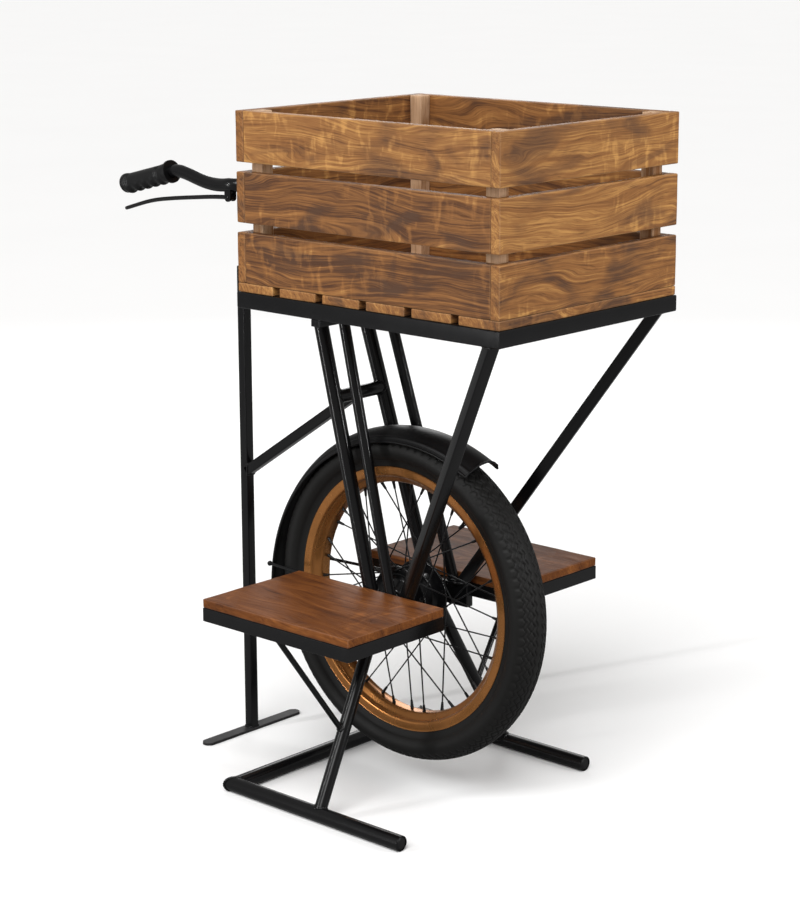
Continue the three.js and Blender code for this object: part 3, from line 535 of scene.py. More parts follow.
def coat_variation():
    """Shared unevenness of paint and rubber: blotches in the roughness, fine dust, and a faint relief."""
    if "coat_variation" in bpy.data.node_groups:
        return bpy.data.node_groups["coat_variation"]
    number, vector = "NodeSocketFloat", "NodeSocketVector"
    group, source, result = new_group(
        "coat_variation",
        [("Place", vector, None), ("Roughness", number, 0.4), ("Spread", number, 0.12),
         ("Grain", number, 900.0)],
        [(label, number) for label in ("Roughness", "Dust", "Relief")],
    )
    w = Wiring(group)
    blotch = w.noise(source["Place"], 14.0, 3.0, 0.6)
    smear = w.noise(w.scaled(source["Place"], (60.0, 60.0, 9.0)), 1.0, 2.0)
    uneven = w.math("ADD", w.math("MULTIPLY", blotch, 0.7), w.math("MULTIPLY", smear, 0.3))
    shift = w.math("MULTIPLY", w.math("SUBTRACT", uneven, 0.5), source["Spread"])
    fine = w.noise(source["Place"], source["Grain"], 2.0, 0.6)
    dust = w.math("MULTIPLY", w.step(fine, 0.55, 0.8), w.step(blotch, 0.35, 0.75))
    coarse = w.noise(source["Place"], 160.0)
    relief = w.math("ADD", w.math("MULTIPLY", fine, 0.35), w.math("MULTIPLY", coarse, 0.65))
    group.links.new(w.math("ADD", source["Roughness"], shift, clamp=True), result["Roughness"])
    group.links.new(dust, result["Dust"])
    group.links.new(relief, result["Relief"])
    return group


def new_material(name):
    """An empty node material, its wiring and its surface shader."""
    material = bpy.data.materials.new(name)
    material.use_nodes = True
    material.node_tree.nodes.clear()
    w = Wiring(material.node_tree)
    shader = w.add("ShaderNodeBsdfPrincipled")
    w.add("ShaderNodeOutputMaterial", {"Surface": shader.outputs[0]})
    return material, w, shader


def wood_material(name, light, mid, dark, smoke, swirl, bands, knots, roughness, contrast, shine=0.13,
                  stain=0.3):
    """Oiled hardwood boards: banded, pored and knotted colour, with a painted highlight that makes the edges
    paler.
    """
    if name in bpy.data.materials:
        return bpy.data.materials[name]
    material, w, shader = new_material(name)
    place = w.add("ShaderNodeAttribute", attribute_name="grain_place").outputs["Vector"]
    edge_nearness = w.add("ShaderNodeAttribute", attribute_name="edge_wear").outputs["Fac"]
    wood = w.add("ShaderNodeGroup", node_tree=wood_figure())
    w.tree.links.new(place, wood.inputs["Place"])
    for label, value in (("Swirl", swirl), ("Bands", bands), ("Knots", knots)):
        wood.inputs[label].default_value = value
    figure = wood.outputs
    share = w.add("ShaderNodeAttribute", attribute_name="board_tone").outputs["Fac"]
    tone = w.math("ADD", w.math("MULTIPLY", w.math("SUBTRACT", figure["Tone"], 0.5), contrast), share)
    tone = w.math("ADD", tone, w.math("MULTIPLY", w.math("SUBTRACT", figure["Fibre"], 0.5), 1.2))
    tone = w.math("SUBTRACT", tone, w.math("MULTIPLY", figure["Patch"], stain))
    # painted sheen: the streaks make the tone lighter
    tone = w.math("ADD", tone, w.math("MULTIPLY", figure["Figure"], 0.34), clamp=True)
    colour = w.mix(w.step(tone, 0.02, 0.5), opaque(dark), opaque(mid))
    colour = w.mix(w.step(tone, 0.42, 0.98), colour, opaque(light))
    colour = w.mix(w.math("MULTIPLY", figure["Patch"], 1.6 * stain), colour, opaque(smoke))
    colour = w.mix(w.math("MULTIPLY", figure["Pores"], 0.55), colour, opaque(dark))
    colour = w.mix(w.math("MULTIPLY", figure["Knot"], 0.85), colour, opaque(dark, 0.45))
    # painted highlight: near the edges the colour is mixed towards a paler tone, standing in for light
    # catching them
    edge_highlight_share = w.math("MULTIPLY", w.step(edge_nearness, 0.55, 1.0), 0.34)
    colour = w.mix(edge_highlight_share, colour, opaque([0.6 * c + 0.1 for c in light]))
    w.tree.links.new(colour, shader.inputs["Base Color"])
    rough = w.math("ADD", w.math("MULTIPLY", figure["Pores"], 0.16),
                   w.math("MULTIPLY", figure["Tone"], -0.08))
    w.tree.links.new(w.math("ADD", rough, roughness), shader.inputs["Roughness"])
    shader.inputs["Specular IOR Level"].default_value = shine
    relief = w.math("SUBTRACT", w.math("MULTIPLY", figure["Tone"], 0.35),
                    w.math("MULTIPLY", figure["Pores"], 0.8))
    relief = w.math("SUBTRACT", relief, figure["Knot"])
    bump = w.add("ShaderNodeBump", {"Height": relief, "Strength": 0.35, "Distance": 0.0006})
    w.tree.links.new(bump.outputs[0], shader.inputs["Normal"])
    return material


def coated_material(name, colour, roughness, spread, grain=900.0, dust=0.05, dust_colour=(0.16, 0.15, 0.14),
                    metallic=0.0, specular=0.35, relief=0.00008, coat=0.0):
    """Paint, rubber or metal with an uneven surface and a little dust in it."""
    if name in bpy.data.materials:
        return bpy.data.materials[name]
    material, w, shader = new_material(name)
    place = w.add("ShaderNodeTexCoord").outputs["Object"]
    coat_group = w.add("ShaderNodeGroup", node_tree=coat_variation())
    w.tree.links.new(place, coat_group.inputs["Place"])
    for label, value in (("Roughness", roughness), ("Spread", spread), ("Grain", grain)):
        coat_group.inputs[label].default_value = value
    share = w.math("MULTIPLY", coat_group.outputs["Dust"], dust)
    shade = w.mix(w.noise(place, 22.0, 3.0), opaque(colour, 0.8), opaque(colour, 1.25))
    w.tree.links.new(w.mix(share, shade, opaque(dust_colour)), shader.inputs["Base Color"])
    w.tree.links.new(coat_group.outputs["Roughness"], shader.inputs["Roughness"])
    shader.inputs["Metallic"].default_value = metallic
    shader.inputs["Specular IOR Level"].default_value = specular
    shader.inputs["Coat Weight"].default_value = coat
    shader.inputs["Coat Roughness"].default_value = 0.12
    bump = w.add("ShaderNodeBump", {"Height": coat_group.outputs["Relief"], "Strength": 0.6,
                                    "Distance": relief})
    w.tree.links.new(bump.outputs[0], shader.inputs["Normal"])
    return material


def crate_wood():
    """Oiled honey-brown boards of the crate."""
    c = colours()
    return wood_material("crate_boards", c.crate_light, c.crate_mid, c.crate_dark, c.crate_smoke,
                         swirl=0.09, bands=66.0, knots=0.5, roughness=0.52, contrast=0.55, stain=0.26)


def post_wood():
    """Paler planed wood of the corner posts."""
    c = colours()
    return wood_material("corner_posts", [0.9 * v + 0.2 for v in c.crate_light],
                         [0.7 * v + 0.15 for v in c.crate_light], c.crate_mid, c.crate_mid,
                         swirl=0.012, bands=120.0, knots=0.02, roughness=0.58, contrast=0.5)


def shelf_wood():
    """Waxed red-brown boards of the shelves."""
    c = colours()
    return wood_material("shelf_boards", c.shelf_light, c.shelf_mid, c.shelf_dark, c.shelf_dark,
                         swirl=0.11, bands=42.0, knots=0.3, roughness=0.5, contrast=0.5, shine=0.06,
                         stain=0.14)


def black_paint():
    """Satin black paint of the frame."""
    return coated_material("frame_paint", colours().frame_black, 0.20, 0.12, dust=0.03, specular=0.26,
                           coat=0.04)


def guard_paint():
    """Duller black paint of the mudguard."""
    return coated_material("guard_paint", colours().frame_black, 0.42, 0.16, dust=0.06, specular=0.2,
                           relief=0.00006)


def worn_paint():
    """Black paint of the foot, scuffed and dusty from the ground."""
    grey = [3.2 * v + 0.006 for v in colours().frame_black]
    return coated_material("foot_paint", grey, 0.5, 0.3, dust=0.5, dust_colour=(0.115, 0.07, 0.042),
                           specular=0.3)


def lever_paint():
    """Glossier black paint of the levers."""
    return coated_material("lever_paint", colours().frame_black, 0.22, 0.12, specular=0.35, coat=0.15)


def spoke_black():
    """Black wire of the spokes."""
    return coated_material("spoke_wire", [1.6 * v for v in colours().frame_black], 0.3, 0.1, specular=0.2)


def gold_paint():
    """Gold-bronze paint of the rim."""
    return coated_material("rim_paint", colours().rim_gold, 0.27, 0.2, grain=1400.0, dust=0.16,
                           dust_colour=(0.10, 0.045, 0.02), metallic=0.85, specular=0.4, coat=0.1)


def tyre_rubber():
    """Dull black rubber of the tyre."""
    return coated_material("tyre_finish", colours().tyre_black, 0.55, 0.2, grain=700.0, dust=0.25,
                           dust_colour=(0.035, 0.033, 0.03), specular=0.2, relief=0.00018)


def grip_rubber():
    """Smooth black rubber of the grips."""
    return coated_material("grip_finish", colours().grip_black, 0.36, 0.14, dust=0.04, specular=0.25,
                           relief=0.00006)


def bare_steel():
    """Dulled plating of the axle and its bearings."""
    return coated_material("dull_steel", colours().steel, 0.38, 0.2, dust=0.2, metallic=1.0, specular=0.5)


# ---- wood ----------------------------------------------------------------------------------------
def make_board(node, grain_axis, seed, material, tone=0.5):
    """A board in the place of a frame node, with its grain along one axis. It stores three things for its
    wood:
    the place in the tree (along, across and through the grain), how near an edge each point is, which the
    wood uses for a painted highlight along the edges, and how light the whole board is."""
    low, high = span(node)
    ease = sizes().board_ease
    board = make_piece(f"{node}_board", [eased_box(low, high, ease, 0.014, 0.3, seed)], material,
                       nodes=[node], sharp=50)
    mesh = board.data
    points = mesh_points(mesh)
    size = high - low
    thin = int(np.argmin(np.where(np.arange(3) == grain_axis, np.inf, size)))
    wide = 3 - grain_axis - thin
    own = points - (low + high) / 2
    shift = seed * np.array([1.37, 0.83, 0.29])
    place = np.stack([own[:, grain_axis], own[:, wide], own[:, thin]], -1) + shift
    depths = np.sort(np.minimum(points - low, high - points), axis=1)
    # how near an edge each point is; the wood paints a highlight there
    near_edge = np.clip(1 - depths[:, 1] / (2.6 * ease), 0, 1)
    mesh.attributes.new("grain_place", "FLOAT_VECTOR", "POINT").data.foreach_set(
        "vector", place.astype(np.float32).ravel())
    tones = np.full(len(points), tone)
    for label, values in (("edge_wear", near_edge), ("board_tone", tones)):
        stored = mesh.attributes.new(label, "FLOAT", "POINT")
        stored.data.foreach_set("value", values.astype(np.float32))
    return board


class CART_OT_crate(Operator):
    """Board the crate: four walls of three planks, the floor slats and the corner posts"""

    bl_idname = "cart.crate"
    bl_label = "Crate"

    def execute(self, context):
        grain = {"front": 1, "rear": 1, "left": 0, "right": 0}
        # Lightness of each board, row by row, for the front, rear, left and right walls. The rear and left
        # walls, whose inner faces are the ones in view, are set darker: painted shade of the crate's inside.
        tones = {"lower": (0.46, 0.42, 0.36, 0.26), "middle": (0.59, 0.42, 0.36, 0.28),
                 "upper": (0.59, 0.40, 0.42, 0.56)}
        seed = 1.0
        for row, lightness in tones.items():
            for (wall, axis), tone in zip(grain.items(), lightness):
                make_board(f"{wall}_plank_{row}", axis, seed, crate_wood(), tone)
                seed += 1.0
        slats = sorted(n for n in frame["nodes"] if n.startswith("floor_slat_"))
        posts = sorted(n for n in frame["nodes"] if n.startswith("corner_post_"))
        for number, node in enumerate(slats):
            make_board(node, 1, 20.0 + number, crate_wood())
        for number, node in enumerate(posts):
            make_board(node, 2, 30.0 + number, post_wood())
        return {"FINISHED"}


class CART_OT_shelves(Operator):
    """Make the two shelf boards and the welded frames under them"""

    bl_idname = "cart.shelves"
    bl_label = "Side shelves"

    rail: metres("Shelf rail", "Width of the rail under a shelf board", 0.020)

    def execute(self, context):
        for number, (name, _) in enumerate(SIDES):
            make_board(f"shelf_board_{name}", 0, 40.0 + 1.7 * number, shelf_wood())
            low, high = span(f"shelf_frame_{name}")
            shape = ring_of_rails(low, high, self.rail, sizes().tube_corner / 2)
            make_piece(f"shelf_rails_{name}", [shape], black_paint(),
                       nodes=[f"shelf_frame_{name}"])
        return {"FINISHED"}


def ring_of_rails(low, high, width, corner):
    """Four rails mitred into a rectangle: one rounded section repeated at the four corners, each point moved
    along both sides of its corner by its distance from the rail's middle line."""
    section = rectangle(width, high[2] - low[2], corner)
    centre = (low + high) / 2
    half = (high - low)[:2] / 2 - width / 2
    signs = np.array([(1, 1), (-1, 1), (-1, -1), (1, -1)], float)
    flat = signs[:, None] * (half + section[None, :, :1])
    height = np.broadcast_to(section[None, :, 1:], (4, len(section), 1))
    points = np.concatenate([flat, height], -1) + centre
    return points.reshape(-1, 3), grid_faces(4, len(section), close_rows=True)


# ---- frame ---------------------------------------------------------------------------------------
class CART_OT_top_frame(Operator):
    """Make the welded rails under the crate, with the member and the low bar across them"""

    bl_idname = "cart.top_frame"
    bl_label = "Top frame"

    bar_width: metres("Low bar", "Width of the low bar", 0.020)
    bar_drop: metres("Low bar drop", "How far the low bar hangs below the rails", 0.012)
    bar_place: metres("Low bar place", "Low bar's middle behind the wheel axle", 0.002)

    def execute(self, context):
        low, high = span("top_frame")
        rail, corner = sizes().rail, sizes().tube_corner
        rails = ring_of_rails(np.array([low[0], low[1], high[2] - rail]), high, rail, corner)
        member_x = axis_ends("fork_side_tube_left")[1][0]
        inside = high[1] - rail - 0.0002
        member_z = high[2] - rail / 2
        member = bar(rectangle(rail, rail, corner), (member_x, -inside, member_z),
                     (member_x, inside, member_z), radius=rail)
        bar_x = middle("axle")[0] - self.bar_place
        bar_low = (bar_x - self.bar_width / 2, low[1] + 0.001, low[2])
        bar_high = (bar_x + self.bar_width / 2, high[1] - 0.001, low[2] + self.bar_drop)
        low_bar = eased_box(bar_low, bar_high, corner / 2)
        make_piece("top_frame_rails", [rails, member], black_paint(),
                   nodes=["top_frame"])
        make_piece("top_frame_low_bar", [low_bar], black_paint())
        seams = []
        for x, sx in ((low[0], 1), (high[0], -1)):
            for y, sy in ((low[1], 1), (high[1], -1)):
                inner = (x + sx * (rail - 0.001), y + sy * (rail - 0.001))
                outer = (x + sx * 0.002, y + sy * 0.002)
                below = high[2] - rail + 0.0008
                seams.append(np.array([(*outer, below), (*inner, below), (*inner, below + 0.0006),
                                       (*outer, below + 0.0006)]))
        weld("top_frame_welds", seams, 0.0009)
        return {"FINISHED"}


class CART_OT_fork(Operator):
    """Make the fork: two legs, two slim tubes, the crown, its brace, the front diagonals and the axle bars"""

    bl_idname = "cart.fork"
    bl_label = "Fork"

    def execute(self, context):
        s = sizes()
        kinds = {"fork_leg": circle(s.leg_radius, 48), "fork_side_tube": circle(s.slim_radius, 40),
                 "front_diagonal": rectangle(s.square_tube, s.square_tube, s.tube_corner)}
        rings = []
        for kind, section in kinds.items():
            for name, _ in SIDES:
                bottom, top = axis_ends(f"{kind}_{name}")
                make_piece(f"{kind}_{name}_tube", [leaning(section, bottom, top)], black_paint(),
                           nodes=[f"{kind}_{name}"])
                cut = level_cut(section, bottom, top)
                rings += [np.column_stack([cut + end[:2], np.full(len(cut), end[2] + lift)])
                          for end, lift in ((bottom, 0.001), (top, -0.001))]
        for name, _ in SIDES:
            low, high = span(f"axle_bar_{name}")
            make_piece(f"axle_bar_{name}_plate", [eased_box(low, high, 0.0015)], black_paint(),
                       nodes=[f"axle_bar_{name}"])
        self.make_crown(rings)
        return {"FINISHED"}

    def make_crown(self, rings):
        """The crown runs between the legs where the brace's upper end is, and the brace falls to the post."""
        s = sizes()
        low, high = span("fork_crown_and_brace")
        crown_z = high[2] - s.crown_radius
        ends = []
        for name, _ in SIDES:
            bottom, top = axis_ends(f"fork_leg_{name}")
            ends.append(bottom + (top - bottom) * (crown_z - bottom[2]) / (top - bottom)[2])
        crown = carried(circle(s.crown_radius, 40), line(ends[0], ends[1]))
        crown_x = ends[0][0]
        brace_foot = np.array([low[0], 0, low[2] + self.brace_half_height(low, high, crown_x)])
        brace_head = np.array([crown_x, 0, crown_z])
        lean = (brace_head - brace_foot) / np.linalg.norm(brace_head - brace_foot)
        section = rectangle(s.post_tube, s.post_tube, s.tube_corner)
        brace = carried(section, line(brace_foot - lean * 0.006, brace_head - lean * s.crown_radius * 0.7))
        make_piece("fork_crown_tube", [crown, brace], black_paint(),
                   nodes=["fork_crown_and_brace"])
        half = s.post_tube / 2
        tall = half / lean[0]
        foot = [(low[0], y, brace_foot[2] + z) for y, z in ((-half, -tall), (half, -tall), (half, tall),
                                                            (-half, tall))]
        rings.append(eased_corners(foot, 0.004))
        for number, (name, side) in enumerate(SIDES):
            bottom, top = axis_ends(f"fork_leg_{name}")
            inward = np.array([0, -side, 0.0])
            rings.append(saddle(ends[number], inward, s.crown_radius, bottom, top - bottom, s.leg_radius, 40))
        weld("fork_welds", rings, s.weld_bead)

    def brace_half_height(self, low, high, crown_x):
        """Half the upright height of the brace's foot, from its slope."""
        half = sizes().post_tube / 2
        run = crown_x - low[0]
        fall = high[2] - sizes().crown_radius - low[2]
        return half * np.hypot(run, fall) / run


class CART_OT_rear_leg(Operator):
    """Make the rear post with its flat foot and the link to the top frame"""

    bl_idname = "cart.rear_leg"
    bl_label = "Rear leg"

    foot_width: metres("Foot width", "Width of the foot strip", 0.025)
    foot_thick: metres("Foot thickness", "Thickness of the foot strip", 0.005)
    foot_corner: metres("Foot corner", "Cut-off corner of the foot strip", 0.008)

    def execute(self, context):
        s = sizes()
        low, high = span("rear_leg")
        half = s.post_tube / 2
        post_x = low[0] + self.foot_width / 2
        section = rectangle(s.post_tube, s.post_tube, s.tube_corner)
        post_top = high[2] - half
        post = carried(section, line((post_x, 0, self.foot_thick * 0.6), (post_x, 0, post_top)), AHEAD)
        cap = eased_box((post_x - half, -half, post_top - 0.004), (post_x + half, half, high[2]),
                        s.tube_corner)
        link = carried(section, line((post_x, 0, post_top), (high[0], 0, post_top)))
        make_piece("rear_post", [post, cap, link], black_paint(), nodes=["rear_leg"])
        w, l, c = self.foot_width / 2, high[1], self.foot_corner
        corners = np.array([(w, l - c), (w - c, l), (c - w, l), (-w, l - c), (-w, c - l), (c - w, -l),
                            (w - c, -l), (w, c - l)])
        outline = eased_corners(corners + (post_x, 0), 0.002)
        foot = slab(outline, 0.0, self.foot_thick, 0.0008)
        make_piece("rear_foot", [foot], worn_paint())
        ring = eased_corners([(post_x + half, -half), (post_x + half, half), (post_x - half, half),
                              (post_x - half, -half)], 0.004)
        ring = np.column_stack([ring, np.full(len(ring), self.foot_thick + 0.0006)])
        weld("rear_leg_welds", [ring], s.weld_bead)
        return {"FINISHED"}


class CART_OT_base(Operator):
    """Make the base tubes with their end plugs, the struts up to the axle bars and the shelf rods"""

    bl_idname = "cart.base"
    bl_label = "Base"

    strut_foot: metres("Strut foot", "Strut's foot ahead of the wheel axle", 0.011)
    rod_foot_height: metres("Rod foot", "Height at which a shelf rod meets its strut", 0.139)
    plug_depth: metres("Plug depth", "Recess in front of a tube's plug", 0.003)

    def execute(self, context):
        s = sizes()
        rings = []
        for name, side in SIDES:
            self.make_side_tube(name, side)
            rings += self.make_strut(name)
        rings += self.make_cross_tube()
        weld("base_welds", rings, s.weld_bead)
        return {"FINISHED"}

    def make_side_tube(self, name, side):
        """A round tube with its rear end cut at 45 degrees: there each point stands back by its distance
        outwards. Its front end turns in over the wall to the plug."""
        low, high = span(f"base_side_tube_{name}")
        radius = (high[2] - low[2]) / 2
        inner = 1 - sizes().base_wall / radius
        corner_x = low[0] + radius
        section = circle(radius, 48)
        front = high[0]
        stops = ((front - 0.0008, 1.0), (front, 0.95), (front, inner + 0.03), (front - 0.0006, inner),
                 (front - self.plug_depth, inner))
        rows = [np.column_stack([corner_x - section[:, 0], side * section[:, 0], section[:, 1]])]
        rows += [np.column_stack([np.full(len(section), x), side * section[:, 0] * k, section[:, 1] * k])
                 for x, k in stops]
        points = np.stack(rows)
        points[..., 1] += (low[1] + high[1]) / 2
        points[..., 2] += radius
        make_piece(f"base_side_tube_{name}_pipe", [closed_tube(points)], black_paint(),
                   nodes=[f"base_side_tube_{name}"])
        bore = radius * inner
        plug = [(bore * 0.97, -0.002), (bore * 0.97, 0.0012), (bore * 0.86, 0.002), (bore * 0.5, 0.0026),
                (bore * 0.1, 0.0028)]
        centre = np.array([front - self.plug_depth, (low[1] + high[1]) / 2, radius])
        make_piece(f"base_plug_{name}", [turned_solid(plug, centre, 40, around=AHEAD)], grip_rubber())

    def make_cross_tube(self):
        """The round tube across the rear, its ends cut at 45 degrees to meet the side tubes. Returns the
        lines of the beads round its corners, which are lifted so that no bead goes below the floor."""
        low, high = span("base_cross_tube")
        radius = (high[2] - low[2]) / 2
        side_low, side_high = span("base_side_tube_left")
        reach = (side_low[1] + side_high[1]) / 2
        centre_x = (low[0] + high[0]) / 2
        section = circle(radius, 48)
        rows = [np.column_stack([centre_x - section[:, 0], sign * (reach + section[:, 0]),
                                 section[:, 1] + radius]) for sign in (-1, 1)]
        make_piece("base_cross_tube_pipe", [closed_tube(np.stack(rows))], black_paint(),
                   nodes=["base_cross_tube"])
        lift = 1.4 * sizes().weld_bead
        return [np.column_stack([row[:, :2], np.maximum(row[:, 2], lift)]) for row in rows]

    def make_strut(self, name):
        """A strut from the base tube to its axle bar, and the slim rod from it to the shelf's outer edge."""
        s = sizes()
        axle_x = middle("axle")[0]
        tube = middle(f"base_side_tube_{name}")
        _, top = axis_ends(f"strut_{name}")
        foot = np.array([axle_x + self.strut_foot, tube[1], tube[2]])
        section = circle(s.strut_radius, 44)
        lean = top - foot
        make_piece(f"strut_{name}_tube", [leaning(section, foot, top)], black_paint(),
                   nodes=[f"strut_{name}"])
        base_radius = tube[2]
        rings = [saddle(foot, lean, s.strut_radius, tube, AHEAD, base_radius, 44)]
        cut = level_cut(section, foot, top)
        rings.append(np.column_stack([cut + top[:2], np.full(len(cut), top[2] - 0.001)]))
        rod_top = axis_ends(f"shelf_rod_{name}")[1]
        meet = foot + lean * (self.rod_foot_height - foot[2]) / lean[2]
        rod = leaning(circle(s.rod_radius, 28), meet, rod_top)
        make_piece(f"shelf_rod_{name}_bar", [rod], black_paint(),
                   nodes=[f"shelf_rod_{name}"])
        rings.append(saddle(meet, rod_top - meet, s.rod_radius, foot, lean, s.strut_radius, 32))
        return rings


# ---- wheel ---------------------------------------------------------------------------------------
def wheel_centre():
    """The point on the axle that the wheel turns about."""
    return joint_place("wheel_spin")


class CART_OT_rim(Operator):
    """Turn the steel rim: rolled lips, bead seats and a dropped well"""

    bl_idname = "cart.rim"
    bl_label = "Rim"

    wall: metres("Rim wall", "Wall of the rim", 0.003)
    depth: metres("Lip height", "Lip above the bead seat", 0.015)
    well_half: metres("Well width", "Half the well's width", 0.011)

    def execute(self, context):
        low, high = span("rim")
        lip, half = (high[2] - low[2]) / 2, high[1]
        wall = self.wall
        seat, floor = lip - self.depth, lip - sizes().rim_well
        outside = [(floor, 0.0), (floor, self.well_half), (seat - wall, half - 2.2 * wall),
                   (seat - 0.4 * wall, half - 0.3 * wall), (lip - 0.3 * wall, half - 0.25 * wall),
                   (lip, half - 0.05 * wall), (lip, half - 0.95 * wall)]
        inside = [(seat + wall, half - wall), (seat, half - 2.2 * wall),
                  (floor + wall, self.well_half - 0.6 * wall), (floor + wall, 0.0)]
        profile = eased_corners(outside + inside, 0.0042, 5, closed=False)
        ring = turned(mirror_profile(profile), wheel_centre(), 200)
        make_piece("rim_ring", [ring], gold_paint(), "wheel", ["rim"], sharp=40)
        self.make_valve(floor)
        return {"FINISHED"}

    def make_valve(self, floor):
        """The valve stem: a stepped turned stem that points at the hub."""
        direction = np.array([np.cos(0.9), 0, np.sin(0.9)])
        steps = [(0.0042, -0.001), (0.0042, 0.003), (0.0028, 0.004), (0.0026, 0.016), (0.0032, 0.0165),
                 (0.0032, 0.022), (0.0022, 0.0235)]
        stem = turned_solid(steps, wheel_centre() + direction * floor, 20, around=-direction, start=ACROSS)
        make_piece("valve_stem", [stem], grip_rubber(), "wheel")


class CART_OT_tyre(Operator):
    """Form the tyre with its zigzag tread"""

    bl_idname = "cart.tyre"
    bl_label = "Tyre"

    wall: metres("Tyre wall", "Wall of the casing", 0.008)
    groove_width: metres("Groove width", "Width of a tread groove", 0.0022)
    zigzag: metres("Zigzag", "Half the sideways swing of a groove", 0.0034)

    def execute(self, context):
        low, high = span("tyre")
        rim_low, rim_high = span("rim")
        crown = (high[2] - low[2]) / 2
        lip, rim_half = (rim_high[2] - rim_low[2]) / 2, rim_high[1]
        half = high[1]
        bulge = (crown + lip) / 2 + 0.001
        angle = np.radians(np.concatenate([np.linspace(-42, 32, 14), np.linspace(34, 146, 76),
                                           np.linspace(148, 222, 14)]))
        outer = np.stack([bulge + np.sin(angle) * (crown - bulge), half * np.cos(angle)], -1)
        back = angle[::6][::-1]
        inner = np.stack([bulge + np.sin(back) * (crown - self.wall - bulge),
                          (half - self.wall) * np.cos(back)], -1)
        bead = rim_half - 0.0055
        beads = [(lip + 0.0006, -rim_half + 0.001), (lip + 0.0003, -bead), (lip - 0.009, -bead)]
        other = [(radius, -y) for radius, y in beads[::-1]]
        profile = np.concatenate([outer, beads, inner, other])
        self.make_casing(profile, len(outer))
        return {"FINISHED"}

    def make_casing(self, profile, outer_count):
        """The profile turned about the axle, with the tread cut into its outside. A groove's depth falls off
        smoothly with the distance to a line that swings sideways as a triangle wave round the tyre."""
        steps = sizes().tyre_zigzags * 8
        turn = np.arange(steps) / steps
        radius = np.repeat(profile[None, :, 0], steps, 0)
        outer = profile[:outer_count]
        walk = np.concatenate([[0], np.cumsum(np.linalg.norm(np.diff(outer, axis=0), axis=1))])
        across = (walk - walk[-1] / 2)[None]
        phase = (turn * sizes().tyre_zigzags)[:, None]
        wave = 4 * np.abs((phase % 1) - 0.5) - 1
        depth = np.zeros((steps, outer_count))
        width = self.groove_width
        # each groove's distance from the tread's middle, and its share of the full swing
        for offset, swing in ((0.0065, 0.6), (0.0145, 1.0), (0.0225, 1.0), (0.0305, 0.8)):
            for sign in (-1, 1):
                centre = sign * (offset + self.zigzag * swing * wave * (1 if offset < 0.02 else -1))
                depth = np.maximum(depth, np.clip(1.5 - np.abs(across - centre) / (width / 2), 0, 1))
        for sign in (-1, 1):
            inside = (sign * across > 0.031) & (sign * across < 0.039)
            slot = np.clip(1.5 - np.abs((phase % 1) - 0.5) / 0.16, 0, 1) * inside
            depth = np.maximum(depth, slot * 0.8)
        rings = np.exp(-(((np.abs(across) - 0.046) / 0.0011) ** 2)) * 0.0009
        rings = rings + np.exp(-(((np.abs(across) - 0.061) / 0.0013) ** 2)) * 0.0008
        depth = depth * depth * (3 - 2 * depth)
        radius[:, :outer_count] += rings - sizes().tyre_groove * depth
        angle = turn * FULL_TURN
        spoke = np.stack([np.cos(angle), np.zeros(steps), np.sin(angle)], -1)
        points = wheel_centre() + radius[..., None] * spoke[:, None]
        points[..., 1] += profile[None, :, 1]
        faces = grid_faces(steps, len(profile), close_rows=True)
        make_piece("tyre_casing", [(points.reshape(-1, 3), faces)], tyre_rubber(), "wheel",
                   ["tyre"], sharp=70)


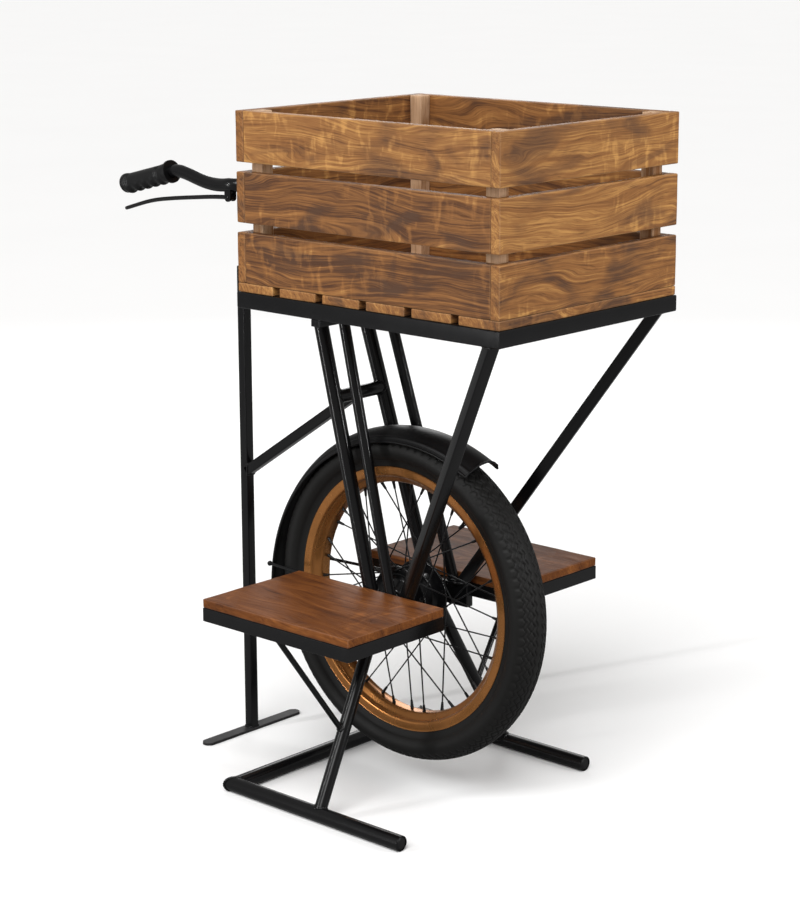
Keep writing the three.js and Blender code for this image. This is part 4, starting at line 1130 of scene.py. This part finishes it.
class CART_OT_hub(Operator):
    """Turn the hub, its bearings, and the axle with its spacers, washers and nuts"""

    bl_idname = "cart.hub"
    bl_label = "Hub and axle"

    barrel: metres("Barrel", "Radius of the hub's barrel", 0.034)
    flange_inner: metres("Flange place", "Inner face of a flange from the middle", 0.025)
    flange_thick: metres("Flange", "Thickness of a flange", 0.004)
    bore: metres("Bore", "Radius of the bore round the axle", 0.009)
    bearing_bore: metres("Bearing bore", "Radius of a bearing's bore", 0.0063)
    rod: metres("Axle rod", "Radius of the threaded rod", 0.006)

    def execute(self, context):
        low, high = span("hub_shell")
        centre = wheel_centre()
        flange, end = (high[2] - low[2]) / 2, high[1]
        seat_low, seat_high = span("hub_bearing_left")
        bearing = (seat_high[2] - seat_low[2]) / 2
        outer = self.flange_inner + self.flange_thick
        seat = seat_low[1] - GAP
        barrel, face = self.barrel, self.flange_inner
        half = [(barrel, 0.0), (barrel, face - 0.005), (barrel + 0.009, face), (flange, face),
                (flange, outer), (flange * 0.8, outer), (flange * 0.74, outer - 0.001),
                (barrel + 0.003, outer), (barrel - 0.004, end - 0.008), (bearing + 0.007, end),
                (bearing + GAP, end), (bearing + GAP, seat), (self.bore, seat), (self.bore, 0.0)]
        profile = eased_corners(half, 0.0016, 3, closed=False)
        make_piece("hub_drum", [turned(mirror_profile(profile), centre, 120)], black_paint(),
                   "wheel", ["hub_shell"])
        self.make_bearings(centre, bearing)
        self.make_axle(centre)
        return {"FINISHED"}

    def make_bearings(self, centre, radius):
        """A bearing: an inner and an outer race with a recessed shield between them."""
        bore = self.bearing_bore
        for name, _ in SIDES:
            low, high = span(f"hub_bearing_{name}")
            half = (high[1] - low[1]) / 2
            face = [(bore, 0.0), (bore, half), (bore + 0.002, half), (bore + 0.0026, half - 0.0008),
                    (radius - 0.0026, half - 0.0008), (radius - 0.002, half), (radius, half), (radius, 0.0)]
            profile = eased_corners(face, 0.0004, 2, closed=False)
            place = centre + ACROSS * (low[1] + high[1]) / 2
            races = turned(mirror_profile(profile), place, 64)
            make_piece(f"hub_bearing_{name}_races", [races], bare_steel(), "wheel",
                       [f"hub_bearing_{name}"])

    def make_axle(self, centre):
        """The axle: a threaded rod whose radius ripples near its ends, with spacers, washers and hexagon
        nuts."""
        end, radius = span("axle")[1][1], self.rod
        thread, pitch, depth = 0.013, 0.00125, 0.0003
        thread_start = end - thread
        along = np.concatenate([[-end, -end + 0.001], np.linspace(-end + 0.001, -thread_start, 60)[1:],
                                np.linspace(thread_start, end - 0.001, 60), [end]])
        ripple = np.where(np.abs(along) > thread_start, depth * np.cos(along * FULL_TURN / pitch), 0)
        size = np.where(np.abs(along) > end - 0.0005, radius - 4 * depth, radius - depth + ripple)
        parts = [turned_solid(np.stack([size, along], -1), centre, 28)]
        spacer_in, spacer_out = span("hub_shell")[1][1] + GAP, span("axle_bar_left")[0][1] - GAP
        washer_in = span("axle_bar_left")[1][1] + GAP
        nut_in, nut_out = washer_in + 0.0014, washer_in + 0.008
        ease = 0.0008
        rings = ((spacer_in, spacer_out, 0.0098, 40), (washer_in, nut_in, 0.0099, 40),
                 (nut_in, nut_out, 0.0092, 6))
        for _, side in SIDES:
            for near, far, size, sides in rings:
                path = [(size - ease, near), (size, near + ease), (size, far - ease), (size - ease, far)]
                parts.append(turned_solid(np.array(path) * (1, side), centre, sides))
        make_piece("axle_and_nuts", parts, bare_steel(), "cart", ["axle"])


class CART_OT_spokes(Operator):
    """Lace the spokes: each with a head, an elbow at the flange and a nipple at the rim"""

    bl_idname = "cart.spokes"
    bl_label = "Spokes"

    count: IntProperty(name="Spokes", description="Spokes in the wheel", default=36, min=12, max=48)
    head_circle: metres("Head circle", "Radius of the circle of spoke heads", 0.054)
    head_place: metres("Head place", "Spokes leave the flange this far from the middle", 0.0325)
    head_step: metres("Head step", "Leading and trailing spokes differ by twice this", 0.0016)
    nipple_place: metres("Nipple place", "Nipples stand this far from the middle", 0.004)
    nipple_radius: metres("Nipple", "Radius of a nipple", 0.0027)
    nipple_length: metres("Nipple length", "Length of a nipple", 0.014)
    lead: FloatProperty(name="Lead", description="Angle a head leads or trails its nipple", default=0.9599,
                        min=0.0, max=1.5, subtype="ANGLE")

    def execute(self, context):
        rim_low, rim_high = span("rim")
        well = (rim_high[2] - rim_low[2]) / 2 - sizes().rim_well
        for name, side in SIDES:
            parts = []
            per_side = self.count // 2
            for i in range(per_side):
                way = 1 if i % 2 == 0 else -1
                rim_angle = (i + (0.5 if side > 0 else 0)) * FULL_TURN / per_side
                parts += self.one_spoke(side, way, rim_angle, rim_angle + way * self.lead, well)
            make_piece(f"spokes_{name}_laced", parts, spoke_black(), "wheel",
                       [f"spokes_{name}"], sharp=50)
        return {"FINISHED"}

    def one_spoke(self, side, way, rim_angle, hub_angle, well):
        """A round wire from the flange, out through an elbow and along to the nipple, and the nipple."""
        centre, thin = wheel_centre(), sizes().spoke_radius
        outward = side * ACROSS
        hub = centre + self.head_circle * np.array([np.cos(hub_angle), 0, np.sin(hub_angle)])
        elbow = hub + outward * (self.head_place + way * self.head_step)
        towards_rim = np.array([np.cos(rim_angle), 0, np.sin(rim_angle)])
        rim = centre + well * towards_rim + outward * self.nipple_place
        along = (rim - elbow) / np.linalg.norm(rim - elbow)
        normal = np.cross(outward, along)
        bend, head, neck = 0.0035, 0.0244, 0.0256
        turn = bezier(elbow - outward * bend, elbow, elbow, elbow + along * bend, 5)
        path = np.concatenate([[hub + outward * head, hub + outward * neck], turn,
                               [rim - along * self.nipple_length * 0.9]])
        thickness = np.concatenate([[1.9, 1.9], np.ones(len(turn) + 1)])
        wire = carried(circle(thin, 8), path, normal, thickness)
        big = self.nipple_radius
        nipple = [(big * 1.15, 0.0005), (big * 1.15, -0.0022), (big, -0.003), (big * 0.92, -0.008),
                  (big * 0.8, -self.nipple_length + 0.001), (big * 0.55, -self.nipple_length)]
        return [wire, turned_solid(nipple, rim, 10, around=along, start=normal / np.linalg.norm(normal))]


# ---- mudguard ------------------------------------------------------------------------------------
class CART_OT_mudguard(Operator):
    """Roll the mudguard, with its swaged beads, edge rolls, stays and rivets"""

    bl_idname = "cart.mudguard"
    bl_label = "Mudguard"

    radius: metres("Guard radius", "Radius of the guard's crown line", 0.339)
    centre_ahead: metres("Guard centre ahead", "Guard's centre ahead of the axle", 0.017)
    centre_drop: metres("Guard centre drop", "Guard's centre below the axle", 0.035)
    half_width: metres("Guard width", "Half the guard's width", 0.041)
    drop: metres("Guard drop", "Crown of the guard above its side edges", 0.022)
    thick: metres("Guard thickness", "Thickness of the sheet", 0.002)
    front: FloatProperty(name="Front end", description="Angle of the guard's front end", default=1.0996,
                         min=0.0, max=3.0, subtype="ANGLE")
    rear: FloatProperty(name="Rear end", description="Angle of the guard's rear end", default=3.2638,
                        min=2.0, max=4.0, subtype="ANGLE")

    def execute(self, context):
        centre = wheel_centre() + AHEAD * self.centre_ahead - UP * self.centre_drop
        arch = (self.half_width**2 + self.drop**2) / (2 * self.drop)
        reach = np.arcsin(self.half_width / arch)
        spread = np.linspace(-1, 1, 57)
        swage = 0.0013 * np.exp(-(((np.abs(spread) - 0.8) / 0.045) ** 2))
        sheet = []
        for offset, way in ((0.0, 1), (self.thick, -1)):
            size = arch - offset + swage
            sheet.append(np.stack([self.radius - arch + size * np.cos(reach * spread),
                                   size * np.sin(reach * spread)], -1)[::way])
        section = np.concatenate(sheet)
        angle = np.linspace(self.front, self.rear, 120)
        spoke = np.stack([np.cos(angle), np.zeros(len(angle)), np.sin(angle)], -1)
        points = centre + section[None, :, :1] * spoke[:, None] + section[None, :, 1:] * ACROSS
        parts = [closed_tube(points)]
        for edge in (0, len(spread) - 1):
            parts.append(carried(circle(0.0021, 12), points[:, edge], ACROSS))
        for end in (0, -1):
            parts.append(carried(circle(0.0019, 12), points[end, :len(spread)], spoke[end] + 0.01))
        make_piece("mudguard_blade", parts, guard_paint(), nodes=["mudguard"], sharp=60)
        self.make_stays(centre)
        return {"FINISHED"}

    def make_stays(self, centre):
        """A wire stay at each side: level from its rivet in the guard's side to the axle bar's rear end."""
        rise, inset, wire, overlap = 0.012, 0.0045, 0.0028, 0.004
        height = middle("axle")[2] + rise
        side_radius = self.radius - self.drop + inset
        rivet_x = centre[0] - np.sqrt(side_radius**2 - (height - centre[2]) ** 2)
        bar_low = span("axle_bar_left")[0]
        for name, side in SIDES:
            start = np.array([rivet_x, side * (self.half_width + wire + 0.0005), height])
            end = np.array([bar_low[0] - GAP, side * (bar_low[1] + wire), height])
            parts = [bar(circle(wire, 16), start - AHEAD * overlap, end, chamfer=0.0008, radius=wire)]
            head = [(0.0046, -0.003), (0.0046, 0.0), (0.0038, 0.0016), (0.002, 0.0024), (0.0004, 0.0027)]
            outward = side * ACROSS
            parts.append(turned_solid(head, start + outward * 0.0022, 24, around=outward))
            shank = [(0.0022, -0.011), (0.0022, 0.0)]
            parts.append(turned_solid(shank, start, 16, around=outward))
            make_piece(f"mudguard_stay_{name}", parts, black_paint())


# ---- handlebar -----------------------------------------------------------------------------------
class CART_OT_handlebar(Operator):
    """Bend the handlebar and make its lever lugs and the bracket on the crate"""

    bl_idname = "cart.handlebar"
    bl_label = "Handlebar"

    bend: metres("Bend radius", "Centre-line radius of the bar's main bends", 0.030)
    lug_gap: metres("Lug gap", "Lever's middle to a lug's inner face", 0.0042)
    lug_thick: metres("Lug", "Thickness of a lug", 0.003)
    lug_half: metres("Lug width", "Half the width of a lug", 0.007)

    def execute(self, context):
        s = sizes()
        bracket_low, bracket_high = span("bar_bracket")
        bar_z = (bracket_low[2] + bracket_high[2]) / 2
        bar_x = bracket_low[0] + 0.005 + s.bar_radius
        halves = [self.half_bar(bar_x, bar_z, side) for _, side in SIDES]
        path = np.concatenate([halves[1][::-1], halves[0][1:]])
        parts = [carried(circle(s.bar_radius, 36), path)]
        make_piece("handlebar_tube", parts, black_paint(), nodes=["handlebar"])
        lugs = []
        for name, side in SIDES:
            pivot = joint_place(f"lever_{name}_squeeze")
            for cheek in (-1, 1):
                inner, outer = self.lug_gap, self.lug_gap + self.lug_thick
                edges = sorted((pivot[1] + cheek * inner, pivot[1] + cheek * outer))
                lugs.append(self.lug(pivot, *edges, bar_z - s.bar_radius / 2))
        make_piece("lever_lugs", lugs, black_paint())
        self.make_bracket(bar_x, bar_z, bracket_low, bracket_high)
        return {"FINISHED"}

    def half_bar(self, x, z, side):
        """Half of the bar's middle line: across, round a quarter bend, then a soft dip to the grip."""
        start, direction, length = grip_line(side)
        line_y = side * abs(start[1])
        quarter_arc = 0.5523  # handle length of a cubic that follows a quarter circle, per unit radius
        bend, pull = self.bend, self.bend * quarter_arc
        inner_y = side * (abs(start[1]) - bend)
        rear = np.array([x - bend, line_y, z])
        across = line((x, 0, z), (x, inner_y, z), 5)[:-1]
        turn_in = np.array([x, inner_y, z])
        corner = bezier(turn_in, turn_in + (0, side * pull, 0), rear + AHEAD * pull, rear)[:-1]
        sweep = bezier(rear, rear + np.array([-0.064, 0, -0.011]), start - direction * 0.040, start, 20)
        inside = line(start, start + direction * (length - 0.008), 4)[1:]
        return np.concatenate([across, corner, sweep, inside])

    def lug(self, pivot, near, far, top):
        """A cheek that hangs from the bar: straight sides and a round foot about the lever's pin."""
        half = self.lug_half
        angle = np.linspace(np.pi, FULL_TURN, 15)
        foot = np.stack([half * np.cos(angle), half * np.sin(angle)], -1)
        outline = np.concatenate([foot, [(half, top - pivot[2]), (-half, top - pivot[2])]])
        rows = [np.column_stack([outline[:, 0] + pivot[0], np.full(len(outline), y),
                                 outline[:, 1] + pivot[2]]) for y in (near, far)]
        return closed_tube(np.stack(rows))

    def make_bracket(self, bar_x, bar_z, low, high):
        """A back plate on the plank, and a strap round the bar at each end of it: a flat-fronted outline with
        a half-round back, carried sideways."""
        half_height = (high[2] - low[2]) / 2
        plate = eased_box((high[0] - 0.002, low[1], low[2]), high, 0.0008)
        parts = [plate]
        radius = bar_x - low[0]
        width = 0.030
        angle = np.linspace(np.pi / 2, 1.5 * np.pi, 25)
        back = np.stack([bar_x + radius * np.cos(angle), bar_z + radius * np.sin(angle)], -1)
        flat = [(high[0] - 0.001, bar_z - radius), (high[0] - 0.001, bar_z + radius)]
        outline = eased_corners(np.concatenate([back, flat]), 0.001)
        for _, side in SIDES:
            ends = sorted((side * high[1], side * (high[1] - width)))
            shape = [np.column_stack([outline[:, 0], np.full(len(outline), y), outline[:, 1]]) for y in ends]
            parts.append(closed_tube(np.stack(shape)))
        screw = [(0.0052, -0.0005), (0.0052, 0.0004), (0.0044, 0.0022), (0.0022, 0.0030), (0.0004, 0.0032)]
        for y in (-0.06, 0.0, 0.06):
            for z in (-half_height * 0.5, half_height * 0.5):
                place = np.array([high[0] - 0.002, y, bar_z + z])
                parts.append(turned_solid(np.array(screw), place, 20, around=-AHEAD))
        make_piece("bar_bracket_straps", parts, black_paint(), nodes=["bar_bracket"])


def grip_line(side):
    """Where a grip starts, the way it points, and its length, from its node's box and its fall."""
    low, high = span("grip_left")
    fall, flange = sizes().grip_fall, sizes().grip_flange
    direction = np.array([-np.cos(fall), 0, -np.sin(fall)])
    start = np.array([high[0] - flange * np.sin(fall), side * (low[1] + high[1]) / 2,
                      high[2] - flange * np.cos(fall)])
    return start, direction, sizes().grip_length


class CART_OT_grips(Operator):
    """Mould the two grips: a flange, finger ridges below, rings of grooves and a round end"""

    bl_idname = "cart.grips"
    bl_label = "Grips"

    ridges: IntProperty(name="Finger ridges", description="Ridges under a grip", default=5, min=0, max=9)
    ridge_height: metres("Ridge height", "How far the finger ridges stand out", 0.0036)

    def execute(self, context):
        for name, side in SIDES:
            start, direction, length = grip_line(side)
            self.make_grip(name, start, direction, length)
        return {"FINISHED"}

    def make_grip(self, name, start, direction, length):
        """A surface of place along and angle round. Its radius is a smooth body, plus ridges that fade in
        towards the underside, less three thin grooves near each end that fade out below."""
        along = np.unique(np.concatenate([np.linspace(0, 1, 170), [0.001, 0.036, 0.04]]))
        angle = np.arange(56) * FULL_TURN / 56
        body = sizes().grip_radius
        flange = 0.0040 * self.fade(along, 0.040, 0.030)
        swell = 0.0016 * np.exp(-(((along - 0.93) / 0.07) ** 2))
        swell += 0.0008 * np.exp(-(((along - 0.1) / 0.08) ** 2))
        end = np.clip((along - 0.915) / 0.085, 0, 1)
        nose = np.sqrt(np.clip(1 - end**2.4, 0.0, 1))
        grooves = np.zeros(len(along))
        for middle_place in (0.215, 0.835):
            for shift in (-0.028, 0.0, 0.028):
                grooves += np.exp(-(((along - middle_place - shift) / 0.0075) ** 2))
        ridge = np.clip(np.sin((along - 0.12) / 0.8 * np.pi * self.ridges) ** 2, 0, 1)
        ridge *= self.fade(along, 0.10, 0.16, rising=True) * self.fade(along, 0.96, 0.90)
        below = np.clip(-np.cos(angle), 0, 1) ** 1.4
        above = np.clip(0.35 + np.cos(angle), 0, 1) ** 0.5
        radius = (body + flange + swell)[:, None] + self.ridge_height * ridge[:, None] * below[None]
        radius = (radius - 0.0011 * grooves[:, None] * above[None]) * nose[:, None]
        radius = np.maximum(radius, 0.0004)
        up = np.cross(direction, ACROSS)
        up = up if up[2] > 0 else -up
        round_way = np.cos(angle)[:, None] * up + np.sin(angle)[:, None] * ACROSS
        points = start + (along * length)[:, None, None] * direction + radius[..., None] * round_way[None]
        make_piece(f"grip_{name}_moulding", [closed_tube(points)], grip_rubber(),
                   nodes=[f"grip_{name}"], sharp=60)

    def fade(self, value, low, high, rising=False):
        """A smooth step between two places, falling unless rising is set."""
        t = np.clip((value - min(low, high)) / abs(high - low), 0, 1)
        t = t * t * (3 - 2 * t)
        return t if rising else 1 - t


class CART_OT_levers(Operator):
    """Make the two lever rods with their eyes and pins"""

    bl_idname = "cart.levers"
    bl_label = "Levers"

    rod: metres("Lever rod", "Radius of a lever's rod", 0.0037)
    eye: metres("Lever eye", "Radius of the eye round the pin", 0.006)
    pin: metres("Lever pin", "Radius of the pin", 0.0026)

    def execute(self, context):
        # the rod's middle line from its pin, back and down under the grip
        route = np.array([(-0.003, 0, 0), (-0.037, 0, -0.002), (-0.074, 0, -0.0055), (-0.150, 0, -0.014),
                          (-0.201, 0, -0.0225), (-0.264, 0, -0.040)])
        for name, _ in SIDES:
            pivot = joint_place(f"lever_{name}_squeeze")
            path = curve(route, 10) + pivot
            taper = np.interp(np.arange(len(path)) / len(path), [0, 0.08, 0.8, 0.97, 0.99, 1.0],
                              [1.0, 1.0, 0.95, 0.9, 0.75, 0.45])
            parts = [carried(circle(self.rod, 20), path, sizes=taper)]
            ease = 0.0006
            for radius, half, sides in ((self.eye, 0.0038, 32), (self.pin, 0.0084, 24)):
                edge = [(radius - ease, -half), (radius, ease - half), (radius, half - ease),
                        (radius - ease, half)]
                parts.append(turned_solid(edge, pivot, sides))
            make_piece(f"brake_lever_{name}_rod", parts, lever_paint(), f"lever_{name}",
                       [f"brake_lever_{name}"])
        return {"FINISHED"}


# ---- stage ---------------------------------------------------------------------------------------
class CART_OT_stage(Operator):
    """Set the camera, a plain pale floor and soft studio light"""

    bl_idname = "cart.stage"
    bl_label = "Stage"

    eye: FloatVectorProperty(name="Eye", description="Camera's place", default=(2.6616, -2.8803, 1.5193),
                             size=3, subtype="TRANSLATION", unit="LENGTH")
    turn: FloatProperty(name="Turn", description="Camera's turn round the cart", default=np.radians(42.42),
                        subtype="ANGLE")
    tilt: FloatProperty(name="Tilt", description="How far the camera looks down", default=np.radians(13.29),
                        subtype="ANGLE")
    roll: FloatProperty(name="Roll", description="Camera's roll", default=np.radians(-0.19), subtype="ANGLE")
    lens: FloatProperty(name="Lens", description="Focal length in millimetres", default=105.05)
    bounce: FloatProperty(name="Bounce", description="Share of its light the floor throws at the cart",
                          default=0.3, min=0.0, max=1.0)
    floor_half: metres("Floor", "Half the floor's width", 70.0, 100.0)

    def execute(self, context):
        self.make_camera(context.scene)
        self.make_floor(context.scene)
        self.make_light(context.scene)
        context.scene.view_settings.view_transform = "Standard"
        return {"FINISHED"}

    def make_camera(self, scene):
        a, e, r = self.turn, self.tilt, self.roll
        back = Vector((np.sin(a) * np.cos(e), -np.cos(a) * np.cos(e), np.sin(e)))
        right = Vector((np.cos(a), np.sin(a), 0))
        up = back.cross(right)
        across = right * np.cos(r) + up * np.sin(r)
        rise = up * np.cos(r) - right * np.sin(r)
        data = bpy.data.cameras.new("studio_camera")
        data.sensor_fit = "HORIZONTAL"
        data.sensor_width = 36.0
        data.lens = self.lens
        data.clip_end = 500.0
        camera = bpy.data.objects.new("studio_camera", data)
        turn = Matrix((across, rise, back)).transposed().to_4x4()
        camera.matrix_world = Matrix.Translation(Vector(self.eye)) @ turn
        scene.collection.objects.link(camera)
        scene.camera = camera

    def make_floor(self, scene):
        """A flat square floor at the cart's feet. Seen directly it is pale, and the light that it throws
        back at the cart is held down, so that black paint stays black."""
        h = self.floor_half
        mesh = bpy.data.meshes.new("studio_floor")
        mesh.from_pydata([(-h, -h, 0), (h, -h, 0), (h, h, 0), (-h, h, 0)], [], [(0, 1, 2, 3)])
        material, w, shader = new_material("floor_paint")
        cloud = w.noise(w.add("ShaderNodeTexCoord").outputs["Object"], 1.3, 3.0)
        shade = w.mix(cloud, opaque(colours().floor, 0.985), opaque(colours().floor, 1.01))
        seen = w.add("ShaderNodeLightPath").outputs["Is Camera Ray"]
        shade = w.mix(seen, opaque(colours().floor, self.bounce), shade)
        w.tree.links.new(shade, shader.inputs["Base Color"])
        shader.inputs["Roughness"].default_value = 0.9
        shader.inputs["Specular IOR Level"].default_value = 0.1
        mesh.materials.append(material)
        floor = bpy.data.objects.new("studio_floor", mesh)
        floor.location.z = -0.0004
        scene.collection.objects.link(floor)

    def make_light(self, scene):
        """An even surround that lights softly but is seen as pale as the floor, one broad high light, and
        tall soft panels."""
        world = bpy.data.worlds.new("studio_surround")
        world.use_nodes = True
        tree = world.node_tree
        sky = tree.nodes["Background"]
        sky.inputs["Color"].default_value = (1.0, 0.985, 0.965, 1.0)
        sky.inputs["Strength"].default_value = 0.36
        backdrop = tree.nodes.new("ShaderNodeBackground")
        backdrop.inputs["Color"].default_value = opaque(colours().floor)
        either = tree.nodes.new("ShaderNodeMixShader")
        tree.links.new(tree.nodes.new("ShaderNodeLightPath").outputs["Is Camera Ray"], either.inputs[0])
        tree.links.new(sky.outputs[0], either.inputs[1])
        tree.links.new(backdrop.outputs[0], either.inputs[2])
        tree.links.new(either.outputs[0], tree.nodes["World Output"].inputs["Surface"])
        scene.world = world
        high = bpy.data.lights.new("high_light", "SUN")
        high.energy, high.angle = 2.7, np.radians(40)
        self.aim(scene, high, (1.2, -2.4, 3.6))
        for name, place, power, width, height in (("near_panel", (-1.6, -3.4, 1.5), 56, 0.09, 2.8),
                                                  ("front_panel", (3.6, 1.2, 1.6), 62, 0.09, 2.8),
                                                  ("rear_panel", (-2.6, 3.0, 2.0), 20, 1.2, 1.8)):
            panel = bpy.data.lights.new(name, "AREA")
            panel.shape, panel.energy, panel.size, panel.size_y = "RECTANGLE", power, width, height
            self.aim(scene, panel, place)

    def aim(self, scene, data, place):
        """Puts a light at a place and turns it to the cart's middle."""
        lamp = bpy.data.objects.new(data.name, data)
        lamp.location = place
        lamp.rotation_euler = (Vector((0, 0, 0.6)) - Vector(place)).to_track_quat("-Z", "Y").to_euler()
        scene.collection.objects.link(lamp)


# ---- sidebar and running -------------------------------------------------------------------------
OPERATORS = (CART_OT_stage, CART_OT_crate, CART_OT_shelves, CART_OT_top_frame, CART_OT_fork, CART_OT_rear_leg,
             CART_OT_base, CART_OT_rim, CART_OT_tyre, CART_OT_hub, CART_OT_spokes, CART_OT_mudguard,
             CART_OT_handlebar, CART_OT_grips, CART_OT_levers)


class CART_PT_panel(Panel):
    """Lists the cart's pieces, sizes and colours in the sidebar"""

    bl_label = "Display Cart"
    bl_idname = "CART_PT_panel"
    bl_space_type = "VIEW_3D"
    bl_region_type = "UI"
    bl_category = "Display Cart"

    def draw(self, context):
        for operator in OPERATORS:
            self.layout.operator(operator.bl_idname)
        for group in (context.scene.cart_sizes, context.scene.cart_colours):
            for name in group.bl_rna.properties.keys():
                if name not in ("rna_type", "name"):
                    self.layout.prop(group, name)


CLASSES = (CartSizes, CartColours, *OPERATORS, CART_PT_panel)


def register():
    for cls in CLASSES:
        bpy.utils.register_class(cls)
    bpy.types.Scene.cart_sizes = PointerProperty(type=CartSizes)
    bpy.types.Scene.cart_colours = PointerProperty(type=CartColours)


def unregister():
    del bpy.types.Scene.cart_colours
    del bpy.types.Scene.cart_sizes
    for cls in reversed(CLASSES):
        bpy.utils.unregister_class(cls)


def main():
    register()
    for operator in OPERATORS:
        group, name = operator.bl_idname.split(".")
        getattr(getattr(bpy.ops, group), name)()
    bpy.context.view_layer.update()


if __name__ == "__main__":
    main()
